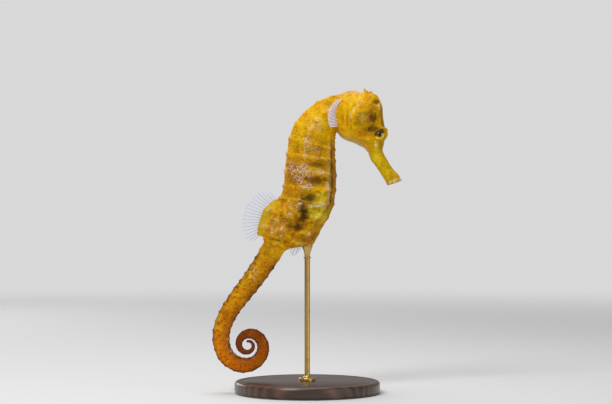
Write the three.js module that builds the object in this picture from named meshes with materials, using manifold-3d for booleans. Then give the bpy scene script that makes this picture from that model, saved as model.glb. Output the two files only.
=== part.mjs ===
// A female yellow seahorse at life size, held upright on a plain display stand.
// Millimetres. +Z is up, +X is the way the animal faces and -Y is its right side.
// The origin is the centre of the stand's underside.
import * as THREE from 'three';
import { mergeVertices } from 'three/addons/utils/BufferGeometryUtils.js';
import Module from 'manifold-3d';

const wasm = await Module();
wasm.setup();

// ---- Driving dimensions ----

const gap = 0.3; // clearance between neighbouring pieces
const weld = 1e-4; // points closer than this are one point

// Half outlines of a cross-section, from the middle of the back round one side to the keel:
// back, upper ridge, upper flank, side ridge, lower flank, lower ridge, belly, keel.
// Each pair is a share of the half depth (1 at the back, -1 at the keel) and of the half breadth.
const forms = {
  snout: [[1, 0], [0.9, 0.43], [0.62, 0.78], [0.22, 0.97], [-0.22, 0.97], [-0.62, 0.78], [-0.9, 0.43], [-1, 0]],
  brow: [[0.98, 0], [1, 0.46], [0.74, 0.86], [0.16, 1], [-0.36, 0.92], [-0.72, 0.68], [-0.93, 0.36], [-1, 0]],
  head: [[1, 0], [0.94, 0.36], [0.62, 0.74], [0.08, 1], [-0.38, 0.96], [-0.74, 0.68], [-0.93, 0.36], [-1, 0]],
  neck: [[0.98, 0], [1, 0.38], [0.64, 0.76], [0.24, 1], [-0.28, 0.93], [-0.72, 0.68], [-0.92, 0.34], [-1, 0]],
  trunk: [[0.96, 0], [1, 0.46], [0.62, 0.77], [0.26, 1], [-0.26, 0.93], [-0.72, 0.72], [-0.9, 0.36], [-1, 0]],
  finBase: [[1, 0], [0.84, 0.38], [0.52, 0.74], [0.2, 1], [-0.28, 0.94], [-0.7, 0.72], [-0.9, 0.37], [-1, 0]],
  tail: [[0.93, 0], [1, 0.78], [0.52, 0.93], [0, 0.95], [-0.5, 0.92], [-1, 0.72], [-0.97, 0.36], [-0.94, 0]],
};

// Cross-sections from the lips to the root of the tail. A whole ring number is the crest of a
// bony ring, 1 to 11 on the trunk. Below 0 the sections cross the head and the snout.
// back and belly are the ends of the section in X and Z.
const bodySections = [
  { ring: -13, back: [31.3, 70.3], belly: [26.4, 68.6], halfWidth: 2.1, form: 'snout' },
  { ring: -12, back: [30.2, 71.9], belly: [25.8, 70.1], halfWidth: 2.1, form: 'snout' },
  { ring: -11, back: [28.4, 73.9], belly: [24.7, 71.9], halfWidth: 1.85, form: 'snout' },
  { ring: -10, back: [26.5, 76.8], belly: [23.1, 74.2], halfWidth: 1.85, form: 'snout' },
  { ring: -9, back: [25.0, 79.9], belly: [21.4, 76.5], halfWidth: 2.2, form: 'snout' },
  { ring: -8, back: [25.4, 82.8], belly: [20.7, 77.9], halfWidth: 3.0, form: 'brow' },
  { ring: -7, back: [25.6, 86.8], belly: [20.3, 79.0], halfWidth: 3.7, form: 'brow' },
  { ring: -6, back: [25.1, 90.8], belly: [19.5, 80.1], halfWidth: 3.9, form: 'head' },
  { ring: -5, back: [24.7, 94.7], belly: [18.6, 80.9], halfWidth: 4.1, form: 'head' },
  { ring: -4, back: [23.0, 98.1], belly: [17.2, 81.6], halfWidth: 4.4, form: 'head' },
  { ring: -3, back: [20.2, 98.9], belly: [15.5, 82.5], halfWidth: 4.6, form: 'head' },
  { ring: -2, back: [17.8, 99.1], belly: [13.6, 83.1], halfWidth: 4.6, form: 'head' },
  { ring: -1, back: [15.4, 99.6], belly: [11.6, 84.0], halfWidth: 4.3, form: 'neck' },
  { ring: 0, back: [12.2, 99.1], belly: [9.9, 85.8], halfWidth: 4.1, form: 'neck' },
  { ring: 1, back: [8.1, 98.1], belly: [9.6, 85.5], halfWidth: 4.1, form: 'neck' },
  { ring: 2, back: [3.3, 96.1], belly: [9.5, 84.9], halfWidth: 4.2, form: 'neck' },
  { ring: 3, back: [-0.7, 92.9], belly: [9.4, 83.9], halfWidth: 4.4, form: 'neck' },
  { ring: 4, back: [-4.0, 89.1], belly: [9.3, 82.5], halfWidth: 4.7, form: 'trunk' },
  { ring: 5, back: [-6.0, 84.0], belly: [9.4, 80.2], halfWidth: 5.1, form: 'trunk' },
  { ring: 6, back: [-6.7, 78.9], belly: [9.5, 76.6], halfWidth: 5.5, form: 'trunk' },
  { ring: 7, back: [-7.5, 73.4], belly: [9.8, 71.8], halfWidth: 5.8, form: 'trunk' },
  { ring: 8, back: [-7.8, 68.3], belly: [9.6, 66.8], halfWidth: 6.0, form: 'trunk' },
  { ring: 9, back: [-9.2, 64.4], belly: [9.0, 62.2], halfWidth: 6.0, form: 'trunk' },
  { ring: 9.4, back: [-11.3, 63.7], belly: [8.4, 60.4], halfWidth: 5.9, form: 'finBase' },
  { ring: 10, back: [-14.6, 60.5], belly: [7.0, 57.6], halfWidth: 5.7, form: 'finBase' },
  { ring: 11, back: [-16.5, 55.1], belly: [3.9, 52.2], halfWidth: 5.0, form: 'finBase' },
  { ring: 11.25, back: [-16.7, 53.6], belly: [3.1, 50.5], halfWidth: 4.8, form: 'finBase' },
  { ring: 11.5, back: [-16.7, 52.2], belly: [1.5, 48.6], halfWidth: 4.5, form: 'finBase' },
  { ring: 11.75, back: [-14.9, 51.7], belly: [-2.4, 48.2], halfWidth: 4.1, form: 'tail' },
  { ring: 12, back: [-14.2, 50.8], belly: [-6.0, 47.7], halfWidth: 3.7, form: 'tail' },
];

// The tail leaves the trunk slightly hollow-backed, then curls forward into a closing coil.
const tail = {
  root: [-11.7, 47.0],
  heading: -119.6, // degrees from +X towards +Z
  backwardRadius: 91.8,
  curlStart: 8,
  curlEase: 37.3, // length over which the backward bend gives way to the curl
  curlRadius: [13.34, 1.32], // where the curl starts, and at the tip
  length: 79.6,
  depths: [[0, 7.2], [12, 6.6], [24, 5.9], [36, 5.3], [48, 4.6], [57, 3.8], [64, 3.1], [69, 2.2], [79.6, 0.8]],
  breadthShare: 0.9, // breadth over depth
  firstRing: 13,
  firstRingAt: 1.5, // distance of the first tail ring from the root
  ringPitch: [3.3, 1.25], // at the root and at the tip
  ringCount: 35,
};

const rings = {
  startAt: 0.5, // the skin is smooth in front of this ring number
  trunkEnd: 12.5,
  trunkSink: 0.4, // how far the hollows lie under the crests
  tailSink: 0.28,
  leastTailShare: 0.25, // the sink shrinks with the tail, down to this share
  crestHalf: 0.1, // half width of a crest, in ring numbers
  knob: 0.25, // knobs where a trunk ring crosses a side ridge
  ridgePoints: [1, 3, 5], // places of the three ridges in a half outline
  loopsAt: [0, 0.3, 0.7], // crest and both sides of the hollow
  headLoopsAt: [0, 0.5],
  leastStep: 0.05, // no loop comes closer than this to a cut
};

// The head is turned a little to the right, about an upright line through the neck.
const headTurn = { degrees: 10, axisX: 12.5, fromRing: 4, toRing: -1 };

const eye = {
  x: 24.3,
  z: 85.0,
  y: 2.9, // from the head's middle plane, before the head is turned
  radius: 1.65,
  rimRadius: 2.15,
  rimY: 2.2,
  segments: [16, 10],
};

const coronet = {
  x: 20.3,
  z: 98.0,
  radius: 1.75,
  rise: 1.15,
  points: 5,
  pointRise: 0.5,
  rearRise: 0.7, // the rearmost point stands higher than the others
  rearNarrowness: 6,
  waist: 0.86, // share of the radius between the points
  pointReach: 0.2, // share of the radius that a point adds
  lean: 6,
  sidesPerPoint: 6,
  // share of the rise, share of the radius, share of the points' height
  levels: [[-1.6, 0.8, 0], [0, 0.74, 0], [0.55, 0.9, 0.2], [1, 0.82, 1], [0.8, 0.42, 0.25]],
  lieOver: [-6, 0], // ring numbers of the body beneath
};

const dorsalFin = {
  root: [[-10.2, 61.5], [-13.5, 59.0], [-15.2, 55.0], [-15.4, 52.9]],
  margin: [[-17.6, 50.2], [-20.0, 50.6], [-21.2, 54.0], [-21.0, 58.4], [-19.6, 62.4], [-16.6, 65.6], [-12.4, 66.2]],
  marginSteps: 18,
  thickness: 0.5,
  lieOver: [8.5, 12.5],
};

const analFin = {
  outline: [[-3.6, 49.4], [-1.9, 49.4], [-2.3, 47.6], [-4.2, 45.6], [-5.5, 45.4], [-5.0, 46.8]],
  thickness: 0.5,
  lieOver: [10, 14],
};

const pectoralFin = {
  rootTop: [10.0, 94.3],
  rootBottom: [10.5, 88.0],
  rootY: 3.1,
  ring: 0.4, // it turns with the neck there
  rayLength: 4.2,
  endRayShare: 0.75, // the first and the last ray are shorter
  rayTurn: [52, 192], // direction of the first and the last ray, in degrees from +X towards +Z
  flare: [24, 60], // degrees from the flank, at the first and the last ray
  thickness: 0.5,
  rays: 10,
  lieOver: [-2, 4],
};

const stand = {
  radius: 24,
  height: 4,
  bevel: 0.8,
  rodRadius: 0.9,
  footRadius: 2.8,
  footHeight: 1.6,
  cupRadius: 1.8,
  cupHeight: 2.4,
  top: 50.2,
  sides: 32,
  lieOver: [9, 14],
};

// Lengths that the body is parted into, by the ring numbers of the cuts between them.
const bodyParts = [
  { name: 'mouth', from: -13, to: -12.2, skin: 'lip' },
  { name: 'snout', from: -12.2, to: -9, skin: 'yellow' },
  { name: 'head', from: -9, to: 0, skin: 'yellow' },
  { name: 'neck', from: 0, to: 4.5, skin: 'yellow' },
  { name: 'trunk_upper', from: 4.5, to: 8.5, skin: 'ochre' },
  { name: 'trunk_lower', from: 8.5, to: 12.5, skin: 'ochre' },
  { name: 'tail_1', from: 12.5, to: 17.5, skin: 'orange' },
  { name: 'tail_2', from: 17.5, to: 22.5, skin: 'orange' },
  { name: 'tail_3', from: 22.5, to: 26.5, skin: 'orange' },
  { name: 'tail_4', from: 26.5, to: 29.5, skin: 'rust' },
  { name: 'tail_5', from: 29.5, to: 32.5, skin: 'rust' },
  { name: 'tail_6', from: 32.5, to: 35.5, skin: 'rust' },
  { name: 'tail_7', from: 35.5, to: 39.5, skin: 'rust' },
  { name: 'tail_8', from: 39.5, to: 47.3, skin: 'rust' },
];

// ---- Curves ----

// Cubic through the values at the given places, each a number or a list of numbers.
function smoothThrough(places, values, place) {
  const last = places.length - 1;
  let i = 0;
  while (i < last - 1 && place > places[i + 1]) i += 1;
  const span = places[i + 1] - places[i];
  const t = THREE.MathUtils.clamp((place - places[i]) / span, 0, 1);
  const slope = (k, n) => {
    const a = Math.max(k - 1, 0);
    const b = Math.min(k + 1, last);
    return (values[b][n] - values[a][n]) / (places[b] - places[a]);
  };
  return values[i].map((start, n) => {
    const end = values[i + 1][n];
    const h00 = (1 + 2 * t) * (1 - t) ** 2;
    const h10 = t * (1 - t) ** 2;
    const h01 = t * t * (3 - 2 * t);
    const h11 = t * t * (t - 1);
    return h00 * start + h01 * end + span * (h10 * slope(i, n) + h11 * slope(i + 1, n));
  });
}

// Points and headings along the tail, found by walking it in short steps.
function walkTail() {
  const step = 0.1;
  const path = [];
  let heading = THREE.MathUtils.degToRad(tail.heading);
  let [x, z] = tail.root;
  for (let at = 0; at <= tail.length + step; at += step) {
    path.push([x, z, heading]);
    const ease = THREE.MathUtils.smoothstep(at, tail.curlStart, tail.curlStart + tail.curlEase);
    const along = Math.max(at - tail.curlStart, 0) / (tail.length - tail.curlStart);
    const radius = THREE.MathUtils.lerp(...tail.curlRadius, along);
    heading += step * (ease / radius - (1 - ease) / tail.backwardRadius);
    x += step * Math.cos(heading);
    z += step * Math.sin(heading);
  }
  return (at) => {
    const i = Math.min(Math.floor(at / step), path.length - 2);
    return path[i].map((value, n) => THREE.MathUtils.lerp(value, path[i + 1][n], at / step - i));
  };
}

const tailPoint = walkTail();

// Distance from the tail's root to a ring.
function tailDistance(ring) {
  const count = ring - tail.firstRing;
  const [first, last] = tail.ringPitch;
  const along = tail.firstRingAt + first * count + ((last - first) * count * count) / (2 * tail.ringCount);
  return Math.min(along, tail.length);
}

function tailSection(ring) {
  const at = tailDistance(ring);
  const [x, z, heading] = tailPoint(at);
  const [depth] = smoothThrough(tail.depths.map((row) => row[0]), tail.depths.map((row) => [row[1]]), at);
  const reach = [Math.sin(heading) * depth / 2, -Math.cos(heading) * depth / 2];
  return {
    ring,
    back: [x + reach[0], z + reach[1]],
    belly: [x - reach[0], z - reach[1]],
    halfWidth: (tail.breadthShare * depth) / 2,
    form: 'tail',
  };
}

const splineSections = [...bodySections, tailSection(tail.firstRing), tailSection(tail.firstRing + 1)];
const splinePlaces = splineSections.map((section) => section.ring);
const splineValues = splineSections.map((section) => sectionNumbers(section));

function sectionNumbers(section) {
  return [...section.back, ...section.belly, section.halfWidth, ...forms[section.form].flat()];
}

// The plane, size and half outline of the section at any ring number, with the head turned.
function sectionAt(ring) {
  const numbers =
    ring >= tail.firstRing
      ? sectionNumbers(tailSection(ring))
      : smoothThrough(splinePlaces, splineValues, ring);
  const [backX, backZ, bellyX, bellyZ, halfWidth, ...outline] = numbers;
  const back = new THREE.Vector3(backX, 0, backZ);
  const belly = new THREE.Vector3(bellyX, 0, bellyZ);
  const centre = back.clone().add(belly).multiplyScalar(0.5);
  const up = back.clone().sub(centre);
  const halfDepth = up.length();
  up.normalize();
  const side = new THREE.Vector3(0, 1, 0);
  const turn = turnAt(ring);
  [centre, up, side].forEach((vector) => vector.applyMatrix4(vector === centre ? turn.move : turn.spin));
  return { centre, up, side, halfDepth, halfWidth, outline, ring };
}

// Matrices that turn a point and a direction with the head.
function turnAt(ring) {
  const share = 1 - THREE.MathUtils.smoothstep(ring, headTurn.toRing, headTurn.fromRing);
  const spin = new THREE.Matrix4().makeRotationZ(-THREE.MathUtils.degToRad(headTurn.degrees) * share);
  const there = new THREE.Matrix4().makeTranslation(headTurn.axisX, 0, 0);
  const back = new THREE.Matrix4().makeTranslation(-headTurn.axisX, 0, 0);
  return { spin, move: there.multiply(spin).multiply(back) };
}

// ---- Solids ----

function solidOf(geometry) {
  const bare = geometry.clone();
  bare.deleteAttribute('normal');
  bare.deleteAttribute('uv');
  const merged = mergeVertices(bare, weld);
  const vertProperties = Float32Array.from(merged.attributes.position.array);
  const triVerts = Uint32Array.from(merged.index.array);
  return new wasm.Manifold(new wasm.Mesh({ numProp: 3, vertProperties, triVerts }));
}

function geometryOf(solid) {
  const { vertProperties, triVerts } = solid.getMesh();
  const geometry = new THREE.BufferGeometry();
  geometry.setAttribute('position', new THREE.BufferAttribute(Float32Array.from(vertProperties), 3));
  geometry.setIndex(new THREE.BufferAttribute(Uint32Array.from(triVerts), 1));
  geometry.computeVertexNormals();
  return geometry;
}

// A closed solid over rows of points, each row a closed loop with the same count.
function loftSolid(rows) {
  const around = rows[0].length;
  const points = rows.flat();
  const faces = [];
  for (let r = 0; r < rows.length - 1; r += 1) {
    for (let k = 0; k < around; k += 1) {
      const a = r * around + k;
      const b = r * around + ((k + 1) % around);
      faces.push(a, b, a + around, b, b + around, a + around);
    }
  }
  [0, rows.length - 1].forEach((r) => {
    const middle = points.length;
    const sum = rows[r].reduce((total, point) => total.add(point), new THREE.Vector3());
    points.push(sum.divideScalar(around));
    for (let k = 0; k < around; k += 1) {
      const a = r * around + k;
      const b = r * around + ((k + 1) % around);
      faces.push(...(r === 0 ? [b, a, middle] : [a, b, middle]));
    }
  });
  const geometry = new THREE.BufferGeometry();
  geometry.setAttribute('position', new THREE.Float32BufferAttribute(points.flatMap((p) => p.toArray()), 3));
  geometry.setIndex(signedVolume(points, faces) < 0 ? faces.slice().reverse() : faces);
  return solidOf(geometry);
}

function signedVolume(points, faces) {
  let volume = 0;
  for (let i = 0; i < faces.length; i += 3) {
    const [a, b, c] = [points[faces[i]], points[faces[i + 1]], points[faces[i + 2]]];
    volume += a.dot(b.clone().cross(c)) / 6;
  }
  return volume;
}

// How far the skin lies off the smooth outline at a ring number and a place in the half outline.
function ringRelief(ring, k) {
  if (ring < rings.startAt) return 0;
  const onTrunk = ring < rings.trunkEnd;
  const root = tailSection(tail.firstRing);
  const size = ring > tail.firstRing ? tailSection(ring).halfWidth / root.halfWidth : 1;
  if (Math.abs(ring - Math.round(ring)) > rings.crestHalf) {
    return onTrunk ? -rings.trunkSink : -rings.tailSink * Math.max(size, rings.leastTailShare);
  }
  return onTrunk && rings.ridgePoints.includes(k) ? rings.knob : 0;
}

// One loop of points round the body, grown outwards by some distance.
function bodyLoop(ring, grow) {
  const { centre, up, side, halfDepth, halfWidth, outline } = sectionAt(ring);
  const half = [];
  for (let k = 0; k < outline.length / 2; k += 1) half.push([outline[2 * k], outline[2 * k + 1], k]);
  const mirrored = half.slice(1, -1).reverse().map(([a, b, k]) => [a, -b, k]);
  return [...half, ...mirrored].map(([a, b, k]) => {
    const off = grow + ringRelief(ring, k);
    const point = centre.clone();
    point.addScaledVector(up, a * (halfDepth + off));
    point.addScaledVector(side, b * (halfWidth + off));
    return point;
  });
}

// Ring numbers of the loops between two places: crest and both sides of the hollow on the rings.
function loopPlaces(from, to) {
  const places = [from];
  for (let ring = Math.ceil(from - 1); ring <= to; ring += 1) {
    const steps = ring < 0 ? rings.headLoopsAt : rings.loopsAt;
    steps.map((step) => ring + step).forEach((place) => {
      if (place > from + rings.leastStep && place < to - rings.leastStep) places.push(place);
    });
  }
  return [...places, to];
}

function bodyLength(from, to, grow = 0) {
  return loftSolid(loopPlaces(from, to).map((ring) => bodyLoop(ring, grow)));
}

// What is left of a solid outside the body, with the clearance between them.
function clearOfBody(solid, [from, to]) {
  return solid.subtract(bodyLength(from, to, gap));
}

// A thin slab across the body, which parts it there.
function cutAt(ring) {
  const { centre, up, side, halfDepth, halfWidth } = sectionAt(ring);
  const margin = 1;
  const slab = new THREE.BoxGeometry(2 * halfDepth + margin, 2 * halfWidth + 2 * margin, gap);
  const along = up.clone().cross(side);
  slab.applyMatrix4(new THREE.Matrix4().makeBasis(up, side, along).setPosition(centre));
  return solidOf(slab);
}

function bodyPart({ from, to }) {
  let solid = bodyLength(from, to);
  if (from > bodyParts[0].from) solid = solid.subtract(cutAt(from));
  if (to < bodyParts[bodyParts.length - 1].to) solid = solid.subtract(cutAt(to));
  return solid;
}

// A ball at the height of the eyes, at a distance from the head's middle plane.
function eyeBall(radius, y) {
  const geometry = new THREE.SphereGeometry(radius, ...eye.segments);
  geometry.rotateX(Math.PI / 2);
  geometry.translate(eye.x, y, eye.z);
  geometry.applyMatrix4(turnAt(headTurn.toRing).move);
  return solidOf(geometry);
}

function headWithEyeSockets(solid, from) {
  const sides = [-1, 1];
  const raised = sides.reduce((head, side) => head.add(eyeBall(eye.rimRadius, side * eye.rimY)), solid);
  const parted = raised.subtract(cutAt(from));
  return sides.reduce((head, side) => head.subtract(eyeBall(eye.radius + gap, side * eye.y)), parted);
}

// The low crown on the top of the head, with blunt points round a hollow.
function coronetSolid() {
  const around = coronet.points * coronet.sidesPerPoint;
  const rows = coronet.levels.map(([level, spread, pointShare]) => {
    const row = [];
    for (let k = 0; k < around; k += 1) {
      const angle = (2 * Math.PI * k) / around;
      const point = Math.max(Math.cos(coronet.points * (angle - Math.PI)), 0);
      const rear = Math.max(-Math.cos(angle), 0) ** coronet.rearNarrowness;
      const radius = coronet.radius * spread * (coronet.waist + coronet.pointReach * point);
      const rise = coronet.rise * level + pointShare * point * (coronet.pointRise + coronet.rearRise * rear);
      row.push(new THREE.Vector3(radius * Math.cos(angle), radius * Math.sin(angle), rise));
    }
    return row;
  });
  const turn = turnAt(headTurn.toRing).move;
  rows.flat().forEach((point) => {
    point.applyAxisAngle(new THREE.Vector3(0, 1, 0), THREE.MathUtils.degToRad(coronet.lean));
    point.add(new THREE.Vector3(coronet.x, 0, coronet.z)).applyMatrix4(turn);
  });
  return clearOfBody(loftSolid(rows), coronet.lieOver);
}

// A flat plate in the X-Z plane, from an outline and a thickness.
function plateSolid(outline, thickness) {
  const shape = new THREE.Shape(outline.map(([x, z]) => new THREE.Vector2(x, z)));
  const geometry = new THREE.ExtrudeGeometry(shape, { depth: thickness, bevelEnabled: false });
  geometry.translate(0, 0, -thickness / 2);
  geometry.rotateX(Math.PI / 2);
  return solidOf(geometry);
}

function dorsalFinSolid() {
  const curve = new THREE.SplineCurve(dorsalFin.margin.map(([x, z]) => new THREE.Vector2(x, z)));
  const margin = curve.getPoints(dorsalFin.marginSteps).map((point) => point.toArray());
  return clearOfBody(plateSolid([...dorsalFin.root, ...margin], dorsalFin.thickness), dorsalFin.lieOver);
}

function analFinSolid() {
  return clearOfBody(plateSolid(analFin.outline, analFin.thickness), analFin.lieOver);
}

// A fan that stands out from the side of the neck and points backwards.
function pectoralFinSolid(sideSign) {
  const [topX, topZ] = pectoralFin.rootTop;
  const [bottomX, bottomZ] = pectoralFin.rootBottom;
  const rootLine = new THREE.Vector3(bottomX - topX, 0, bottomZ - topZ);
  const rows = [];
  for (let k = 0; k < pectoralFin.rays; k += 1) {
    const along = k / (pectoralFin.rays - 1);
    const turn = THREE.MathUtils.degToRad(THREE.MathUtils.lerp(...pectoralFin.rayTurn, along));
    const flare = THREE.MathUtils.degToRad(THREE.MathUtils.lerp(...pectoralFin.flare, along));
    const reach = THREE.MathUtils.lerp(pectoralFin.endRayShare, 1, Math.sin(Math.PI * along));
    const length = pectoralFin.rayLength * reach;
    const root = new THREE.Vector3(topX, sideSign * pectoralFin.rootY, topZ).addScaledVector(rootLine, along);
    const ray = new THREE.Vector3(Math.cos(turn) * Math.cos(flare), 0, Math.sin(turn) * Math.cos(flare));
    ray.y = sideSign * Math.sin(flare);
    const half = ray.clone().cross(rootLine).setLength(pectoralFin.thickness / 2);
    const tip = root.clone().addScaledVector(ray, length);
    rows.push([root.clone().add(half), tip.clone().add(half), tip.clone().sub(half), root.clone().sub(half)]);
  }
  const turn = turnAt(pectoralFin.ring).move;
  rows.flat().forEach((point) => point.applyMatrix4(turn));
  return clearOfBody(loftSolid(rows), pectoralFin.lieOver);
}

function latheSolid(profile) {
  const points = profile.map(([r, z]) => new THREE.Vector2(r, z));
  return solidOf(new THREE.LatheGeometry(points, stand.sides).rotateX(Math.PI / 2));
}

function standBaseSolid() {
  const { radius, height, bevel } = stand;
  return latheSolid([[0, 0], [radius, 0], [radius, height - bevel], [radius - bevel, height], [0, height]]);
}

function standRodSolid() {
  const { rodRadius, footRadius, footHeight, cupRadius, cupHeight, top } = stand;
  const foot = stand.height + gap;
  const profile = [
    [0, foot],
    [footRadius, foot],
    [footRadius, foot + footHeight / 2],
    [rodRadius, foot + footHeight],
    [rodRadius, top - 2 * cupHeight],
    [cupRadius, top - cupHeight],
    [cupRadius, top],
    [0, top],
  ];
  return clearOfBody(latheSolid(profile), stand.lieOver);
}

// ---- Finishes ----

function finish(colour, roughness, metalness = 0) {
  return () => new THREE.MeshStandardMaterial({ color: colour, roughness, metalness });
}

const finishes = {
  yellow: finish(0xdca414, 0.5),
  ochre: finish(0xc08a12, 0.5),
  orange: finish(0xb87410, 0.5),
  rust: finish(0x8a4308, 0.5),
  lip: finish(0xc9a07c, 0.5),
  fin: finish(0xb9c2d6, 0.4),
  eye: finish(0x1c130c, 0.1),
  wood: finish(0x2e2019, 0.35),
  brass: finish(0xb08d4c, 0.28, 1),
};

function addPiece(group, name, solid, finishName) {
  const piece = new THREE.Mesh(geometryOf(solid), finishes[finishName]());
  piece.name = name;
  group.add(piece);
}

// ---- The whole ----

const seahorse = new THREE.Group();

bodyParts.forEach((part) => {
  const solid = bodyPart(part);
  const whole = part.name === 'head' ? headWithEyeSockets(solid, part.from) : solid;
  addPiece(seahorse, part.name, whole, part.skin);
});
addPiece(seahorse, 'coronet', coronetSolid(), 'yellow');
addPiece(seahorse, 'eye_right', eyeBall(eye.radius, -eye.y), 'eye');
addPiece(seahorse, 'eye_left', eyeBall(eye.radius, eye.y), 'eye');
addPiece(seahorse, 'dorsal_fin', dorsalFinSolid(), 'fin');
addPiece(seahorse, 'anal_fin', analFinSolid(), 'fin');
addPiece(seahorse, 'pectoral_fin_right', pectoralFinSolid(-1), 'fin');
addPiece(seahorse, 'pectoral_fin_left', pectoralFinSolid(1), 'fin');
addPiece(seahorse, 'stand_base', standBaseSolid(), 'wood');
addPiece(seahorse, 'stand_rod', standRodSolid(), 'brass');

export default seahorse;
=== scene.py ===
import math
import bmesh
import bpy
import numpy as np
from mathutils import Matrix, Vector, noise
from mathutils.bvhtree import BVHTree


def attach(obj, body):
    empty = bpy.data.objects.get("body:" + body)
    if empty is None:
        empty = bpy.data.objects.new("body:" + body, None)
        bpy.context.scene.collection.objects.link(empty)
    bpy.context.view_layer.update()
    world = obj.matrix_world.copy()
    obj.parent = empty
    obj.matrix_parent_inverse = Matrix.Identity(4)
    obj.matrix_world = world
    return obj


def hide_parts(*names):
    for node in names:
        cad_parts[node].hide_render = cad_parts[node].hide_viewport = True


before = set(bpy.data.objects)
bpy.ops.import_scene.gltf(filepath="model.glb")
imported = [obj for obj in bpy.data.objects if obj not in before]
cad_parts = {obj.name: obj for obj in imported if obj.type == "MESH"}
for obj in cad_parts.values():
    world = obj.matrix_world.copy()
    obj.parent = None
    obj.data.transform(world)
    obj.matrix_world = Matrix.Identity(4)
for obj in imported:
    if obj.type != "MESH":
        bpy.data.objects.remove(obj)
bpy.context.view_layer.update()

mm = 0.001
bpy.context.scene.view_settings.view_transform = "Standard"


def smoothStep(low, high, value):
    t = np.clip((value - low) / (high - low), 0, 1)
    return t * t * (3 - 2 * t)


def bell(value, width):
    return np.exp(-(value / width) ** 2)


def between(value, first, last, ease):
    return smoothStep(first - ease, first + ease, value) * (1 - smoothStep(last - ease, last + ease, value))


def smoothThrough(places, values, at):
    # cubic through rows of values, with the slopes taken over both neighbours
    places = np.asarray(places, float)
    values = np.asarray(values, float)
    slope = np.empty_like(values)
    slope[1:-1] = (values[2:] - values[:-2]) / (places[2:] - places[:-2])[:, None]
    slope[0] = (values[1] - values[0]) / (places[1] - places[0])
    slope[-1] = (values[-1] - values[-2]) / (places[-1] - places[-2])
    i = np.clip(np.searchsorted(places, at, side="right") - 1, 0, len(places) - 2)
    span = (places[i + 1] - places[i])[:, None]
    t = np.clip((at - places[i])[:, None] / span, 0, 1)
    start = values[i] * (1 + 2 * t) * (1 - t) ** 2 + slope[i] * span * t * (1 - t) ** 2
    end = values[i + 1] * t * t * (3 - 2 * t) + slope[i + 1] * span * t * t * (t - 1)
    return start + end


def newObject(name, mesh):
    piece = bpy.data.objects.new(name, mesh)
    bpy.context.scene.collection.objects.link(piece)
    return piece


def meshFrom(name, points, faces, smooth=True):
    mesh = bpy.data.meshes.new(name)
    mesh.from_pydata([tuple(p) for p in points], [], faces)
    mesh.validate()
    mesh.polygons.foreach_set("use_smooth", [smooth] * len(mesh.polygons))
    mesh.update()
    return mesh


def setFloats(mesh, name, values):
    layer = mesh.attributes.get(name) or mesh.attributes.new(name, "FLOAT", "POINT")
    layer.data.foreach_set("value", np.asarray(values, np.float32))


def getFloats(mesh, name):
    values = np.empty(len(mesh.vertices), np.float32)
    mesh.attributes[name].data.foreach_get("value", values)
    return values.astype(float)


def getPoints(mesh, what="co"):
    values = np.empty(3 * len(mesh.vertices))
    mesh.vertices.foreach_get(what, values)
    return values.reshape(-1, 3)


def noiseAt(points, scale, seed=0.0):
    shift = Vector((seed, seed * 0.7, seed * 1.3))
    return np.array([noise.noise(Vector(p) / scale + shift) for p in points])


def bake(piece, name):
    # the modifier's result as a plain mesh
    bpy.context.view_layer.update()
    evaluated = piece.evaluated_get(bpy.context.evaluated_depsgraph_get())
    mesh = bpy.data.meshes.new_from_object(evaluated)
    mesh.name = name
    bpy.data.objects.remove(piece)
    return newObject(name, mesh)


class Nodes:
    # a short way to lay out a node tree: add a node, set its sockets, join it up
    def __init__(self, tree):
        self.tree = tree

    def add(self, kind, sockets=None, **settings):
        node = self.tree.nodes.new(kind)
        for key, value in settings.items():
            setattr(node, key, value)
        for key, value in (sockets or {}).items():
            self.feed(node.inputs[key], value)
        return node

    def feed(self, socket, value):
        if isinstance(value, bpy.types.NodeSocket):
            self.tree.links.new(value, socket)
        else:
            socket.default_value = value

    def calc(self, operation, first, second=0.0, clamp=False):
        node = self.add("ShaderNodeMath", {0: first, 1: second}, operation=operation, use_clamp=clamp)
        return node.outputs[0]

    def mix(self, share, first, second, blend="MIX"):
        node = self.add("ShaderNodeMix", data_type="RGBA", blend_type=blend)
        self.feed(node.inputs[0], share)
        self.feed(node.inputs[6], first)
        self.feed(node.inputs[7], second)
        return node.outputs[2]

    def ramp(self, value, stops, easing="LINEAR"):
        node = self.add("ShaderNodeValToRGB", {"Fac": value})
        node.color_ramp.interpolation = easing
        elements = node.color_ramp.elements
        for place, colour in stops[1:-1]:
            elements.new(place).color = colour
        elements[0].position, elements[0].color = stops[0]
        elements[-1].position, elements[-1].color = stops[-1]
        return node.outputs["Color"]

    def span(self, value, low, high, outLow=0.0, outHigh=1.0):
        sockets = {"Value": value, "From Min": low, "From Max": high, "To Min": outLow, "To Max": outHigh}
        return self.add("ShaderNodeMapRange", sockets, interpolation_type="SMOOTHSTEP").outputs[0]

    def attribute(self, name):
        return self.add("ShaderNodeAttribute", attribute_name=name).outputs["Fac"]


viewing = {
    "distance": 0.6,
    "across": -0.0004,
    "height": 0.063,
    "frameWidth": 0.202,
    "floorSize": 1.6,
    "fadeFrom": 0.2,
    "fadeTo": 0.75,
    "paleTone": 0.84,
    "floorTone": 0.62,
    "backdrop": 0.82,
    "ambient": 0.36,
}


def makeCamera():
    data = bpy.data.cameras.new("camera")
    data.sensor_width = 36
    data.lens = data.sensor_width * viewing["distance"] / viewing["frameWidth"]
    data.clip_start = 0.01
    camera = newObject("camera", data)
    camera.location = (viewing["across"], -viewing["distance"], viewing["height"])
    camera.rotation_euler = (math.radians(90), 0, 0)
    bpy.context.scene.camera = camera


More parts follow.
